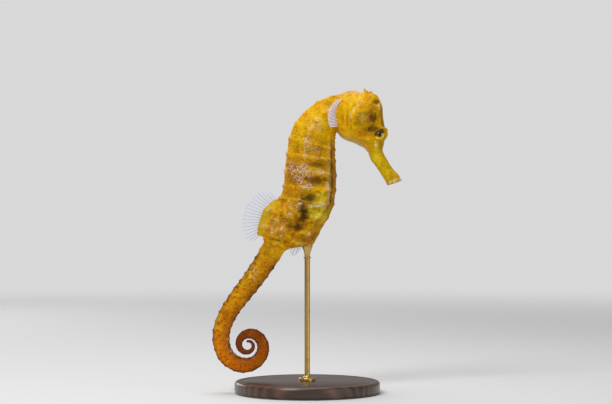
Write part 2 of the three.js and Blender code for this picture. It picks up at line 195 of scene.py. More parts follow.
lamps = [
    {"name": "keyLamp", "at": (-0.22, -0.34, 0.42), "size": 0.2, "power": 1.85},
    {"name": "fillLamp", "at": (0.42, -0.42, 0.16), "size": 0.4, "power": 0.5},
    {"name": "topLamp", "at": (-0.02, 0.06, 0.5), "size": 0.3, "power": 1.25},
    {"name": "backLamp", "at": (-0.3, 0.42, 0.22), "size": 0.35, "power": 0.75},
]


def makeLamps():
    target = Vector((0, 0, 0.055))
    for lamp in lamps:
        data = bpy.data.lights.new(lamp["name"], "AREA")
        data.shape = "DISK"
        data.size = lamp["size"]
        data.energy = lamp["power"]
        light = newObject(lamp["name"], data)
        light.location = lamp["at"]
        aim = target - Vector(lamp["at"])
        light.rotation_euler = aim.to_track_quat("-Z", "Y").to_euler()
    world = bpy.data.worlds.new("studio")
    bpy.context.scene.world = world
    world.use_nodes = True
    nodes = Nodes(world.node_tree)
    sky = world.node_tree.nodes["Background"]
    tone = viewing["paleTone"]
    sky.inputs["Color"].default_value = (tone, tone, tone * 1.01, 1)
    # the backdrop is pale to look at and gives only a little light
    seen = nodes.add("ShaderNodeLightPath").outputs["Is Camera Ray"]
    strength = nodes.calc("MULTIPLY_ADD", seen, viewing["backdrop"] - viewing["ambient"])
    strength.node.inputs[2].default_value = viewing["ambient"]
    nodes.feed(sky.inputs["Strength"], strength)


def colour(red, green, blue, alpha=1.0):
    # from screen values 0 to 255 to the linear values that a shader takes
    linear = [c / 12.92 if c <= 0.04045 else ((c + 0.055) / 1.055) ** 2.4 for c in (red / 255, green / 255, blue / 255)]
    return (*linear, alpha)


def newMaterial(name):
    material = bpy.data.materials.new(name)
    material.use_nodes = True
    tree = material.node_tree
    return material, Nodes(tree), tree.nodes["Principled BSDF"]


def makeFloor():
    half = viewing["floorSize"]
    mesh = meshFrom("floor", [(-half, -half, 0), (half, -half, 0), (half, half, 0), (-half, half, 0)], [(0, 1, 2, 3)])
    floor = newObject("floor", mesh)
    material, nodes, shader = newMaterial("paleFloor")
    tone = viewing["floorTone"]
    shader.inputs["Base Color"].default_value = (tone, tone, tone, 1)
    shader.inputs["Roughness"].default_value = 0.9
    shader.inputs["Specular IOR Level"].default_value = 0.1
    place = nodes.add("ShaderNodeTexCoord").outputs["Object"]
    away = nodes.add("ShaderNodeVectorMath", {0: place}, operation="LENGTH").outputs["Value"]
    shown = nodes.span(away, viewing["fadeFrom"], viewing["fadeTo"], 1.0, 0.0)
    nodes.feed(shader.inputs["Alpha"], shown)
    floor.data.materials.append(material)


makeCamera()
makeLamps()
makeFloor()
print("stage: camera, lamps and floor are up")


# half outlines of a cross-section from the back round one side to the keel, as in the frame:
# back, upper ridge, upper flank, side ridge, lower flank, lower ridge, belly, keel
forms = {
    "snout": [(1, 0), (0.9, 0.43), (0.62, 0.78), (0.22, 0.97), (-0.22, 0.97), (-0.62, 0.78), (-0.9, 0.43), (-1, 0)],
    "brow": [(0.98, 0), (1, 0.46), (0.74, 0.86), (0.16, 1), (-0.36, 0.92), (-0.72, 0.68), (-0.93, 0.36), (-1, 0)],
    "head": [(1, 0), (0.94, 0.36), (0.62, 0.74), (0.08, 1), (-0.38, 0.96), (-0.74, 0.68), (-0.93, 0.36), (-1, 0)],
    "neck": [(0.98, 0), (1, 0.38), (0.64, 0.76), (0.24, 1), (-0.28, 0.93), (-0.72, 0.68), (-0.92, 0.34), (-1, 0)],
    "trunk": [(0.96, 0), (1, 0.46), (0.62, 0.77), (0.26, 1), (-0.26, 0.93), (-0.72, 0.72), (-0.9, 0.36), (-1, 0)],
    "finBase": [(1, 0), (0.84, 0.38), (0.52, 0.74), (0.2, 1), (-0.28, 0.94), (-0.7, 0.72), (-0.9, 0.37), (-1, 0)],
    "tail": [(0.93, 0), (1, 0.78), (0.52, 0.93), (0, 0.95), (-0.5, 0.92), (-1, 0.72), (-0.97, 0.36), (-0.94, 0)],
}

# ring number, back end of the section (X, Z), belly end, half breadth, form
bodySections = [
    (-13, (31.3, 70.3), (26.4, 68.6), 2.1, "snout"),
    (-12, (30.2, 71.9), (25.8, 70.1), 2.1, "snout"),
    (-11, (28.4, 73.9), (24.7, 71.9), 1.85, "snout"),
    (-10, (26.5, 76.8), (23.1, 74.2), 1.85, "snout"),
    (-9, (25.0, 79.9), (21.4, 76.5), 2.2, "snout"),
    (-8, (25.4, 82.8), (20.7, 77.9), 3.0, "brow"),
    (-7, (25.6, 86.8), (20.3, 79.0), 3.7, "brow"),
    (-6, (25.1, 90.8), (19.5, 80.1), 3.9, "head"),
    (-5, (24.7, 94.7), (18.6, 80.9), 4.1, "head"),
    (-4, (23.0, 98.1), (17.2, 81.6), 4.4, "head"),
    (-3, (20.2, 98.9), (15.5, 82.5), 4.6, "head"),
    (-2, (17.8, 99.1), (13.6, 83.1), 4.6, "head"),
    (-1, (15.4, 99.6), (11.6, 84.0), 4.3, "neck"),
    (0, (12.2, 99.1), (9.9, 85.8), 4.1, "neck"),
    (1, (8.1, 98.1), (9.6, 85.5), 4.1, "neck"),
    (2, (3.3, 96.1), (9.5, 84.9), 4.2, "neck"),
    (3, (-0.7, 92.9), (9.4, 83.9), 4.4, "neck"),
    (4, (-4.0, 89.1), (9.3, 82.5), 4.7, "trunk"),
    (5, (-6.0, 84.0), (9.4, 80.2), 5.1, "trunk"),
    (6, (-6.7, 78.9), (9.5, 76.6), 5.5, "trunk"),
    (7, (-7.5, 73.4), (9.8, 71.8), 5.8, "trunk"),
    (8, (-7.8, 68.3), (9.6, 66.8), 6.0, "trunk"),
    (9, (-9.2, 64.4), (9.0, 62.2), 6.0, "trunk"),
    (9.4, (-11.3, 63.7), (8.4, 60.4), 5.9, "finBase"),
    (10, (-14.6, 60.5), (7.0, 57.6), 5.7, "finBase"),
    (11, (-16.5, 55.1), (3.9, 52.2), 5.0, "finBase"),
    (11.25, (-16.7, 53.6), (3.1, 50.5), 4.8, "finBase"),
    (11.5, (-16.7, 52.2), (1.5, 48.6), 4.5, "finBase"),
    (11.75, (-14.9, 51.7), (-2.4, 48.2), 4.1, "tail"),
    (12, (-14.2, 50.8), (-6.0, 47.7), 3.7, "tail"),
]

tail = {
    "root": (-11.7, 47.0),
    "heading": -119.6,
    "backwardRadius": 91.8,
    "curlStart": 8,
    "curlEase": 37.3,
    "curlRadius": (13.34, 1.32),
    "length": 79.6,
    "depthAt": (0, 12, 24, 36, 48, 57, 64, 69, 79.6),
    "depth": (7.2, 6.6, 5.9, 5.3, 4.6, 3.8, 3.1, 2.2, 0.8),
    "breadthShare": 0.9,
    "firstRing": 13,
    "firstRingAt": 1.5,
    "ringPitch": (3.3, 1.25),
    "ringCount": 35,
}

headTurn = {"degrees": 10, "axisX": 12.5, "fromRing": 4, "toRing": -1}


def walkTail():
    step = 0.1
    count = int(tail["length"] / step) + 2
    at = np.arange(count) * step
    ease = smoothStep(tail["curlStart"], tail["curlStart"] + tail["curlEase"], at)
    along = np.clip(at - tail["curlStart"], 0, None) / (tail["length"] - tail["curlStart"])
    radius = tail["curlRadius"][0] + (tail["curlRadius"][1] - tail["curlRadius"][0]) * along
    bend = step * (ease / radius - (1 - ease) / tail["backwardRadius"])
    heading = math.radians(tail["heading"]) + np.concatenate([[0], np.cumsum(bend)[:-1]])
    x = tail["root"][0] + np.concatenate([[0], np.cumsum(step * np.cos(heading[1:]))])
    z = tail["root"][1] + np.concatenate([[0], np.cumsum(step * np.sin(heading[1:]))])
    return at, x, z, heading


tailPath = walkTail()


def tailDistance(ring):
    count = ring - tail["firstRing"]
    first, last = tail["ringPitch"]
    along = tail["firstRingAt"] + first * count + (last - first) * count ** 2 / (2 * tail["ringCount"])
    return np.minimum(along, tail["length"])


def tailNumbers(ring):
    ring = np.atleast_1d(np.asarray(ring, float))
    at = tailDistance(ring)
    x, z, heading = (np.interp(at, tailPath[0], column) for column in tailPath[1:])
    depth = smoothThrough(tail["depthAt"], np.array(tail["depth"])[:, None], at)[:, 0]
    reachX = np.sin(heading) * depth / 2
    reachZ = -np.cos(heading) * depth / 2
    ends = [x + reachX, z + reachZ, x - reachX, z - reachZ, tail["breadthShare"] * depth / 2]
    outline = np.tile(np.array(forms["tail"]).ravel(), (len(ring), 1))
    return np.column_stack([*ends, outline])


def sectionRows():
    places = [row[0] for row in bodySections]
    rows = [[*row[1], *row[2], row[3], *np.array(forms[row[4]]).ravel()] for row in bodySections]
    first = tail["firstRing"]
    places += [first, first + 1]
    rows += [tailNumbers(first)[0], tailNumbers(first + 1)[0]]
    return places, np.array(rows, float)


sectionPlaces, sectionValues = sectionRows()


def sectionsAt(ring):
    ring = np.asarray(ring, float)
    body = smoothThrough(sectionPlaces, sectionValues, ring)
    onTail = ring >= tail["firstRing"]
    if onTail.any():
        body[onTail] = tailNumbers(ring[onTail])
    back = np.column_stack([body[:, 0], np.zeros(len(ring)), body[:, 1]])
    belly = np.column_stack([body[:, 2], np.zeros(len(ring)), body[:, 3]])
    centre = (back + belly) / 2
    up = back - centre
    halfDepth = np.linalg.norm(up, axis=1)
    up /= halfDepth[:, None]
    half = body[:, 5:].reshape(len(ring), -1, 2)
    mirrored = half[:, -2:0:-1] * np.array([1, -1])
    return centre, up, halfDepth, body[:, 4], np.concatenate([half, mirrored], axis=1)


outlinePoints = 14


def aroundOutline(outline, around):
    # closed Catmull-Rom curve through the outline of each section
    i = np.floor(around).astype(int)
    t = (around - i)[:, None]
    row = np.arange(len(around))
    a, b, c, d = (outline[row, (i + k) % outlinePoints] for k in (-1, 0, 1, 2))
    return 0.5 * (2 * b + (c - a) * t + (2 * a - 5 * b + 4 * c - d) * t ** 2 + (3 * b - a - 3 * c + d) * t ** 3)


def turnWithHead(points, ring):
    share = 1 - smoothStep(headTurn["toRing"], headTurn["fromRing"], ring)
    angle = -math.radians(headTurn["degrees"]) * share
    x = points[:, 0] - headTurn["axisX"]
    y = points[:, 1].copy()
    turned = points.copy()
    turned[:, 0] = headTurn["axisX"] + x * np.cos(angle) - y * np.sin(angle)
    turned[:, 1] = x * np.sin(angle) + y * np.cos(angle)
    return turned


relief = {
    "ringSink": 0.34,
    "tailSink": 0.2,
    "crestWidth": 0.14,
    "ridgeWidth": 0.26,
    "ridgeRise": 0.14,
    "knobRise": 0.24,
    "knobWidth": 0.12,
}


def foldAround(around):
    return np.minimum(around, outlinePoints - around)


def ridgeShare(ring, fold):
    # 1 along the body's lengthwise ridges
    width = relief["ridgeWidth"]
    sideRidge = bell(fold - 3, width) * (1 - smoothStep(11.2, 12.6, ring))
    lines = bell(fold - 1, width) + bell(fold - 5, width) + sideRidge + 0.7 * bell(fold - 7, width)
    return np.clip(lines, 0, 1) * smoothStep(0.2, 1.6, ring)


def crestShare(ring):
    off = ring - np.round(ring)
    return bell(off, relief["crestWidth"])


def ringRelief(ring, fold):
    ridge = ridgeShare(ring, fold)
    crest = crestShare(ring)
    onTail = smoothStep(12.2, 12.8, ring)
    small = np.clip(np.interp(tailDistance(ring), tail["depthAt"], tail["depth"]) / tail["depth"][0], 0.25, 1)
    size = (1 - onTail) + onTail * small
    sink = (relief["ringSink"] * (1 - onTail) + relief["tailSink"] * onTail) * size
    knob = relief["knobRise"] * ridge * bell(ring - np.round(ring), relief["knobWidth"]) * (0.45 + 0.55 * smoothStep(3.5, 6, ring))
    keel = bell(fold - 7, 1.2)
    crestRise = sink * crest * (0.5 + 0.5 * ridge) * (1 - 0.4 * keel * (1 - onTail))
    rise = -sink + crestRise + size * ridge * (relief["ridgeRise"] + knob * (1 - 0.5 * onTail))
    return rise * smoothStep(-0.6, 0.9, ring)


skinGrid = {
    "headRowsPerRing": 12,
    "trunkRowsPerRing": 16,
    "tailRowsPerRing": 12,
    "tipRowsPerRing": 10,
    "columns": (152, 76, 38),
    "columnsChangeAt": (13.0, 30.0),
    "tipRing": 47.3,
}

# the lips roll over and into the mouth: share of the section, step outwards along the snout in mm
lipRows = [(0.985, 0.1), (0.93, 0.2), (0.85, 0.24), (0.76, 0.18), (0.68, 0.0), (0.6, -0.3), (0.5, -0.7), (0.3, -1.0)]
tipRows = [(0.85, 0.12), (0.6, 0.24), (0.3, 0.3)]

# where each length of the body lies on the unwrap: first ring, last ring, left end and middle in mm
unwrapStrips = [
    (-14.0, 0.0, (1.0, 27.0)),
    (6.0, 13.0, (42.5, 27.0)),
    (0.0, 6.0, (1.0, 78.0)),
    (13.0, 22.0, (29.5, 68.0)),
    (22.0, 30.0, (29.5, 93.0)),
    (30.0, 48.0, (60.5, 63.0)),
]
unwrapSide = 104.0


def rowPlaces():
    change, last = skinGrid["columnsChangeAt"], skinGrid["tipRing"]
    parts = [
        np.arange(-13, 0, 1 / skinGrid["headRowsPerRing"]),
        np.arange(0, change[0], 1 / skinGrid["trunkRowsPerRing"]),
        np.arange(change[0], change[1], 1 / skinGrid["tailRowsPerRing"]),
        np.arange(change[1], last + 0.01, 1 / skinGrid["tipRowsPerRing"]),
    ]
    return np.concatenate(parts)


def skinRow(ring, columns, share=1.0, step=0.0):
    around = np.arange(columns) * outlinePoints / columns
    rings = np.full(columns, ring)
    centre, up, halfDepth, halfWidth, outline = sectionsAt(rings)
    flat = aroundOutline(outline, around)
    off = ringRelief(rings, foldAround(around))
    side = np.array([0.0, 1.0, 0.0])
    along = np.cross(up, side)
    points = centre + along * step
    points = points + up * (flat[:, :1] * share * (halfDepth + off)[:, None])
    points = points + side * (flat[:, 1:] * share * (halfWidth + off)[:, None])
    return points, around


def skinRows():
    rows = []
    wide = skinGrid["columns"]
    change = skinGrid["columnsChangeAt"]
    for count, (share, step) in enumerate(reversed(lipRows)):
        rows.append((-13 - 0.1 * (len(lipRows) - count), *skinRow(-13.0, wide[0], share, -step)))
    for ring in rowPlaces():
        columns = wide[0] if ring < change[0] else wide[1] if ring < change[1] else wide[2]
        rows.append((ring, *skinRow(ring, columns)))
    for count, (share, step) in enumerate(tipRows):
        rows.append((skinGrid["tipRing"] + 0.1 * (count + 1), *skinRow(skinGrid["tipRing"], wide[2], share, step)))
    return rows


def unwrapOf(rows):
    # each strip is laid flat with its back in the middle and its own width round the body
    places = np.array([row[0] for row in rows])
    centres = np.array([row[1].mean(axis=0) for row in rows])
    girth = np.array([np.linalg.norm(np.roll(row[1], -1, 0) - row[1], axis=1).sum() for row in rows])
    steps = [0.0]
    for a, b in zip(rows, rows[1:]):
        few = len(b[1])
        gap = np.linalg.norm(a[1][:: len(a[1]) // few] - b[1], axis=1)
        steps.append(0.5 * (gap.mean() + gap.max()))
    return places, np.cumsum(steps), girth


def buildSkinMesh():
    rows = skinRows()
    places, length, girth = unwrapOf(rows)
    starts = np.cumsum([0] + [len(row[1]) for row in rows])
    points = [p for row in rows for p in row[1]]
    rings = [row[0] for row in rows for _ in row[1]]
    folds = [foldAround(u) for row in rows for u in row[2]]
    faces, corners = [], []

    def stripCorner(r, k, columns, strip):
        first, _, (left, middle) = strip
        across = (k / columns - 0.5) * girth[r]
        base = np.interp(first, places, length)
        return ((left + length[r] - base) / unwrapSide, (middle + across) / unwrapSide)

    def addFace(corner):
        faces.append([starts[r] + k % len(rows[r][1]) for r, k in corner])
        middle = sum(places[r] for r, _ in corner) / len(corner)
        strip = next(s for s in unwrapStrips if s[0] <= middle < s[1])
        corners.extend(stripCorner(r, k, len(rows[r][1]), strip) for r, k in corner)

    for r in range(len(rows) - 1):
        here, there = len(rows[r][1]), len(rows[r + 1][1])
        for k in range(there):
            if here == there:
                addFace([(r, k), (r, k + 1), (r + 1, k + 1), (r + 1, k)])
            else:
                addFace([(r, 2 * k), (r, 2 * k + 1), (r + 1, k)])
                addFace([(r, 2 * k + 1), (r + 1, k + 1), (r + 1, k)])
                addFace([(r, 2 * k + 1), (r, 2 * k + 2), (r + 1, k + 1)])
    for r, order in ((0, -1), (len(rows) - 1, 1)):
        columns = len(rows[r][1])
        middle = len(points)
        points.append(np.mean(rows[r][1], axis=0))
        rings.append(rows[r][0])
        folds.append(0.0)
        strip = unwrapStrips[0] if r == 0 else unwrapStrips[-1]
        for k in range(columns):
            face = [starts[r] + k, starts[r] + (k + 1) % columns, middle]
            loop = [(r, k), (r, k + 1), (r, k + 0.5)]
            faces.append(face[::order])
            corners.extend([stripCorner(a, b, columns, strip) for a, b in loop][::order])
    mesh = bpy.data.meshes.new("skin")
    mesh.from_pydata([tuple(p) for p in points], [], faces)
    unwrap = mesh.uv_layers.new(name="OFBake")
    unwrap.data.foreach_set("uv", np.array(corners, np.float32).ravel())
    setFloats(mesh, "ring", rings)
    setFloats(mesh, "fold", folds)
    mesh.polygons.foreach_set("use_smooth", [True] * len(mesh.polygons))
    mesh.update()
    return mesh



# all of these in millimetres, with the head not yet turned
eyeShape = {
    "centre": (24.3, 2.9, 85.0),
    "radius": 1.65,
    "forward": 0.16,
    "upward": 0.02,
    "domeRadius": 1.98,
    "browRise": 1.15,
    "opening": 39,
    "lidRise": 0.14,
    "lidFold": 0.07,
    "cover": 0.2,
}

crown = {
    "centre": (20.1, 0.0, 98.25),
    "lean": 6,
    "radius": 1.1,
    "rim": 0.5,
    "points": 5,
    "pointRise": 0.24,
    "rearRise": 0.8,
    "hollow": 0.22,
    "flare": 0.18,
}

gillCover = {"centre": (19.0, 90.9), "radius": 4.3, "bulge": 0.4, "groove": 0.13, "rim": 0.2}

# pleats behind the gill cover: X and depth
neckPleats = [(11.7, 0.2), (12.7, 0.24), (13.7, 0.2), (14.5, 0.14)]

# low ridges on each side of the head: X and Z of both ends, width, rise
headRidges = [
    ((24.0, 87.6), (21.8, 93.6), 0.55, 0.3),
    ((21.2, 95.9), (22.6, 94.2), 0.4, 0.22),
    ((18.2, 96.6), (15.4, 94.0), 0.45, 0.2),
    ((24.3, 82.8), (25.0, 80.2), 0.5, 0.16),
    ((22.4, 82.4), (17.2, 84.2), 0.6, 0.2),
    ((16.4, 96.8), (14.9, 93.6), 0.5, 0.22),
    ((14.9, 93.6), (14.6, 90.0), 0.45, 0.16),
]

# bumps and pits on each side of the head: X, Z, half breadth, rise
headBumps = [
    (23.0, 90.2, 1.15, -0.34),
    (23.1, 96.0, 0.7, -0.28),
    (23.9, 94.5, 0.5, 0.2),
    (23.3, 82.1, 0.5, 0.24),
    (21.6, 85.8, 0.9, -0.18),
    (25.1, 82.6, 0.28, -0.16),
    (17.2, 85.2, 0.7, 0.2),
    (12.6, 86.9, 0.7, 0.18),
    (16.9, 98.9, 0.7, 0.16),
]

lumps = [(3.4, 0.1, 1.0), (1.3, 0.05, 7.0)]
hipLumps = {"scale": 1.3, "rise": 0.2, "seed": 12.0}


def eyeFrame(side):
    centre = np.array(eyeShape["centre"]) * (1, side, 1)
    axis = np.array([eyeShape["forward"], side, eyeShape["upward"]])
    axis /= np.linalg.norm(axis)
    up = np.array([0.0, 0.0, 1.0]) - axis * axis[2]
    up /= np.linalg.norm(up)
    fore = np.cross(up, axis) * -side
    return centre, axis, up, fore * np.sign(fore[0])


def aroundEye(points, side):
    centre, axis, up, fore = eyeFrame(side)
    arm = points - centre
    reach = np.linalg.norm(arm, axis=1)
    off = np.degrees(np.arccos(np.clip(arm @ axis / np.maximum(reach, 1e-6), -1, 1)))
    turn = np.arctan2(arm @ up, arm @ fore)
    return centre, arm, reach, off, turn


def smoothMax(a, b, width):
    share = np.clip(0.5 + 0.5 * (b - a) / width, 0, 1)
    return a * (1 - share) + b * share + width * share * (1 - share)


def domeReach(off, turn):
    brow = eyeShape["browRise"] * bell(turn - math.radians(60), 0.4) * bell(off - 72, 21)
    uneven = 0.06 * np.sin(3 * turn + 0.8) + 0.05 * np.sin(5 * turn) - 0.12 * bell(turn + 1.2, 0.9)
    dome = (eyeShape["domeRadius"] + brow + uneven) * (1 - smoothStep(72, 138, off))
    # the skin covers the ball at the front of the head too
    return np.maximum(dome, (eyeShape["radius"] + eyeShape["cover"]) * (1 - smoothStep(146, 172, off)))


def raiseOrbit(points, side):
    centre, arm, reach, off, turn = aroundEye(points, side)
    near = (reach < 5) & (points[:, 1] * side > 0.2)
    grown = np.where(near, smoothMax(reach, domeReach(off, turn), 0.55), reach)
    return centre + arm * (grown / np.maximum(reach, 1e-6))[:, None]


def openLids(points, side):
    centre, arm, reach, off, turn = aroundEye(points, side)
    edge = off - eyeShape["opening"] * (1 + 0.07 * np.cos(2 * turn))
    ball = eyeShape["radius"]
    lid = ball - 0.3 + (0.3 + eyeShape["lidRise"]) * smoothStep(-5, 3, edge)
    dome = domeReach(np.maximum(off, 60), turn)
    lid = lid + (dome - ball - eyeShape["lidRise"]) * smoothStep(3, 22, edge)
    lid = lid - eyeShape["lidFold"] * bell(edge - 12, 3.2) + 0.04 * bell(edge - 5, 3)
    share = (1 - smoothStep(62, 78, off)) * (reach < 3.2) * (points[:, 1] * side > 0.2)
    made = reach * (1 - share) + lid * share
    return centre + arm * (made / np.maximum(reach, 1e-6))[:, None]


def awayFromLine(x, z, start, end):
    start, end = np.array(start), np.array(end)
    span = end - start
    along = np.clip(((x - start[0]) * span[0] + (z - start[1]) * span[1]) / (span @ span), 0, 1)
    return np.hypot(x - start[0] - along * span[0], z - start[1] - along * span[1])


def headRelief(points, ring):
    x, y, z = points.T
    onSide = smoothStep(0.5, 2.2, np.abs(y))
    onHead = 1 - smoothStep(1.2, 3.0, ring)
    turn = np.arctan2(z - gillCover["centre"][1], x - gillCover["centre"][0])
    off = np.hypot(x - gillCover["centre"][0], z - gillCover["centre"][1])
    off = off * (1 + 0.07 * np.sin(2 * turn + 0.6) + 0.05 * np.sin(3 * turn + 2.0)) + 0.22 * noiseAt(points, 1.6, 9.0)
    rear = smoothStep(0.9, 1.7, np.abs(turn - 0.4))
    size = gillCover["radius"]
    rise = gillCover["bulge"] * np.sqrt(np.clip(1 - (off / size) ** 2, 0, 1))
    rise -= gillCover["groove"] * bell(off - size, 0.4) * (0.15 + 0.85 * rear)
    rise += gillCover["rim"] * bell(off - size - 0.7, 0.42) * rear
    rays = np.cos(9 * np.arctan2(z - 87.2, x - 22.8) * 2)
    rise += 0.05 * rays * (1 - smoothStep(size - 1.4, size - 0.4, off)) * smoothStep(0.8, 2, np.hypot(x - 22.8, z - 87.2))
    for place, depth in neckPleats:
        waver = place + 0.25 * np.sin(z * 1.1 + place)
        rise -= depth * bell(x - waver, 0.26) * smoothStep(84.5, 87, z) * (1 - smoothStep(92.5, 94.5, z)) * 1.3
    for start, end, width, height in headRidges:
        rise += height * bell(awayFromLine(x, z, start, end), width)
    for bumpX, bumpZ, width, height in headBumps:
        rise += height * bell(np.hypot(x - bumpX, z - bumpZ), width)
    jaw = bell(ring + 12.35, 0.09) * smoothStep(-0.4, 1.2, np.abs(y)) * 0.12
    return rise * onSide * onHead - jaw


def raiseCrown(points):
    lean = math.radians(crown["lean"])
    axis = np.array([math.sin(lean), 0, math.cos(lean)])
    fore = np.array([math.cos(lean), 0, -math.sin(lean)])
    arm = points - np.array(crown["centre"])
    u, v, up = arm @ fore, arm[:, 1], arm @ axis
    off = np.hypot(u, v * 1.04)
    turn = np.arctan2(v, u)
    near = smoothStep(-1.6, -0.6, up) * (off < 3.4)
    point = np.clip(np.cos(crown["points"] * (turn - math.pi)), 0, 1) ** 1.6
    rear = np.clip(-np.cos(turn), 0, 1) ** 6
    edge = crown["radius"] * (0.9 + 0.14 * point)
    rise = crown["rim"] * (1 - smoothStep(edge + 0.05, edge + 0.75, off))
    rise += bell(off - edge, 0.42) * point * (crown["pointRise"] + crown["rearRise"] * rear)
    rise -= crown["hollow"] * (1 - smoothStep(0.35, edge * 0.92, off))
    spread = crown["flare"] * bell(off - edge, 0.5) * (0.3 + 0.7 * point) * smoothStep(0.3, 0.9, rise)
    moved = points + axis * (rise * near)[:, None]
    moved += (fore * u[:, None] + np.array([0, 1, 0]) * v[:, None]) * (spread * near / np.maximum(off, 0.2))[:, None]
    return moved


def refine(mesh, centres, longest, passes):
    # more points inside the given balls: centre and reach in mm
    work = bmesh.new()
    work.from_mesh(mesh)
    for _ in range(passes):
        chosen = []
        for centre, reach in centres:
            for edge in work.edges:
                a, b = edge.verts
                inside = (a.co - centre).length < reach and (b.co - centre).length < reach
                if inside and edge.calc_length() > longest:
                    chosen.append(edge)
        bmesh.ops.subdivide_edges(work, edges=list(set(chosen)), cuts=1, use_grid_fill=True)
    bmesh.ops.triangulate(work, faces=[f for f in work.faces if len(f.verts) > 4])
    work.to_mesh(mesh)
    work.free()


def setPoints(mesh, points):
    mesh.vertices.foreach_set("co", np.asarray(points, float).ravel())
    mesh.update()


def hipShare(ring, fold):
    return between(ring, 9.4, 12.2, 0.5) * between(fold, 1.3, 5.2, 0.4)


def hipNoise(points):
    return noiseAt(points, hipLumps["scale"], hipLumps["seed"])


def sculptSkin(mesh):
    points = getPoints(mesh)
    for side in (-1, 1):
        points = raiseOrbit(points, side)
    setPoints(mesh, points)
    eyes = [(Vector((*eyeFrame(side)[0],)), 2.75) for side in (-1, 1)]
    refine(mesh, eyes, 0.14, 3)
    refine(mesh, [(Vector(crown["centre"]), 2.9)], 0.14, 1)
    points = getPoints(mesh)
    normals = np.array([v.normal[:] for v in mesh.vertices])
    ring = getFloats(mesh, "ring")
    rise = headRelief(points, ring)
    lip = 1 - smoothStep(-13.0, -12.6, ring)
    for scale, height, seed in lumps:
        rise += height * noiseAt(points, scale, seed) * (1 - lip) * (1 - 0.7 * smoothStep(30, 44, ring))
    rise += hipLumps["rise"] * hipNoise(points) * hipShare(ring, getFloats(mesh, "fold"))
    points = points + normals * rise[:, None]
    points = raiseCrown(points)
    for side in (-1, 1):
        points = openLids(points, side)
    setPoints(mesh, points)


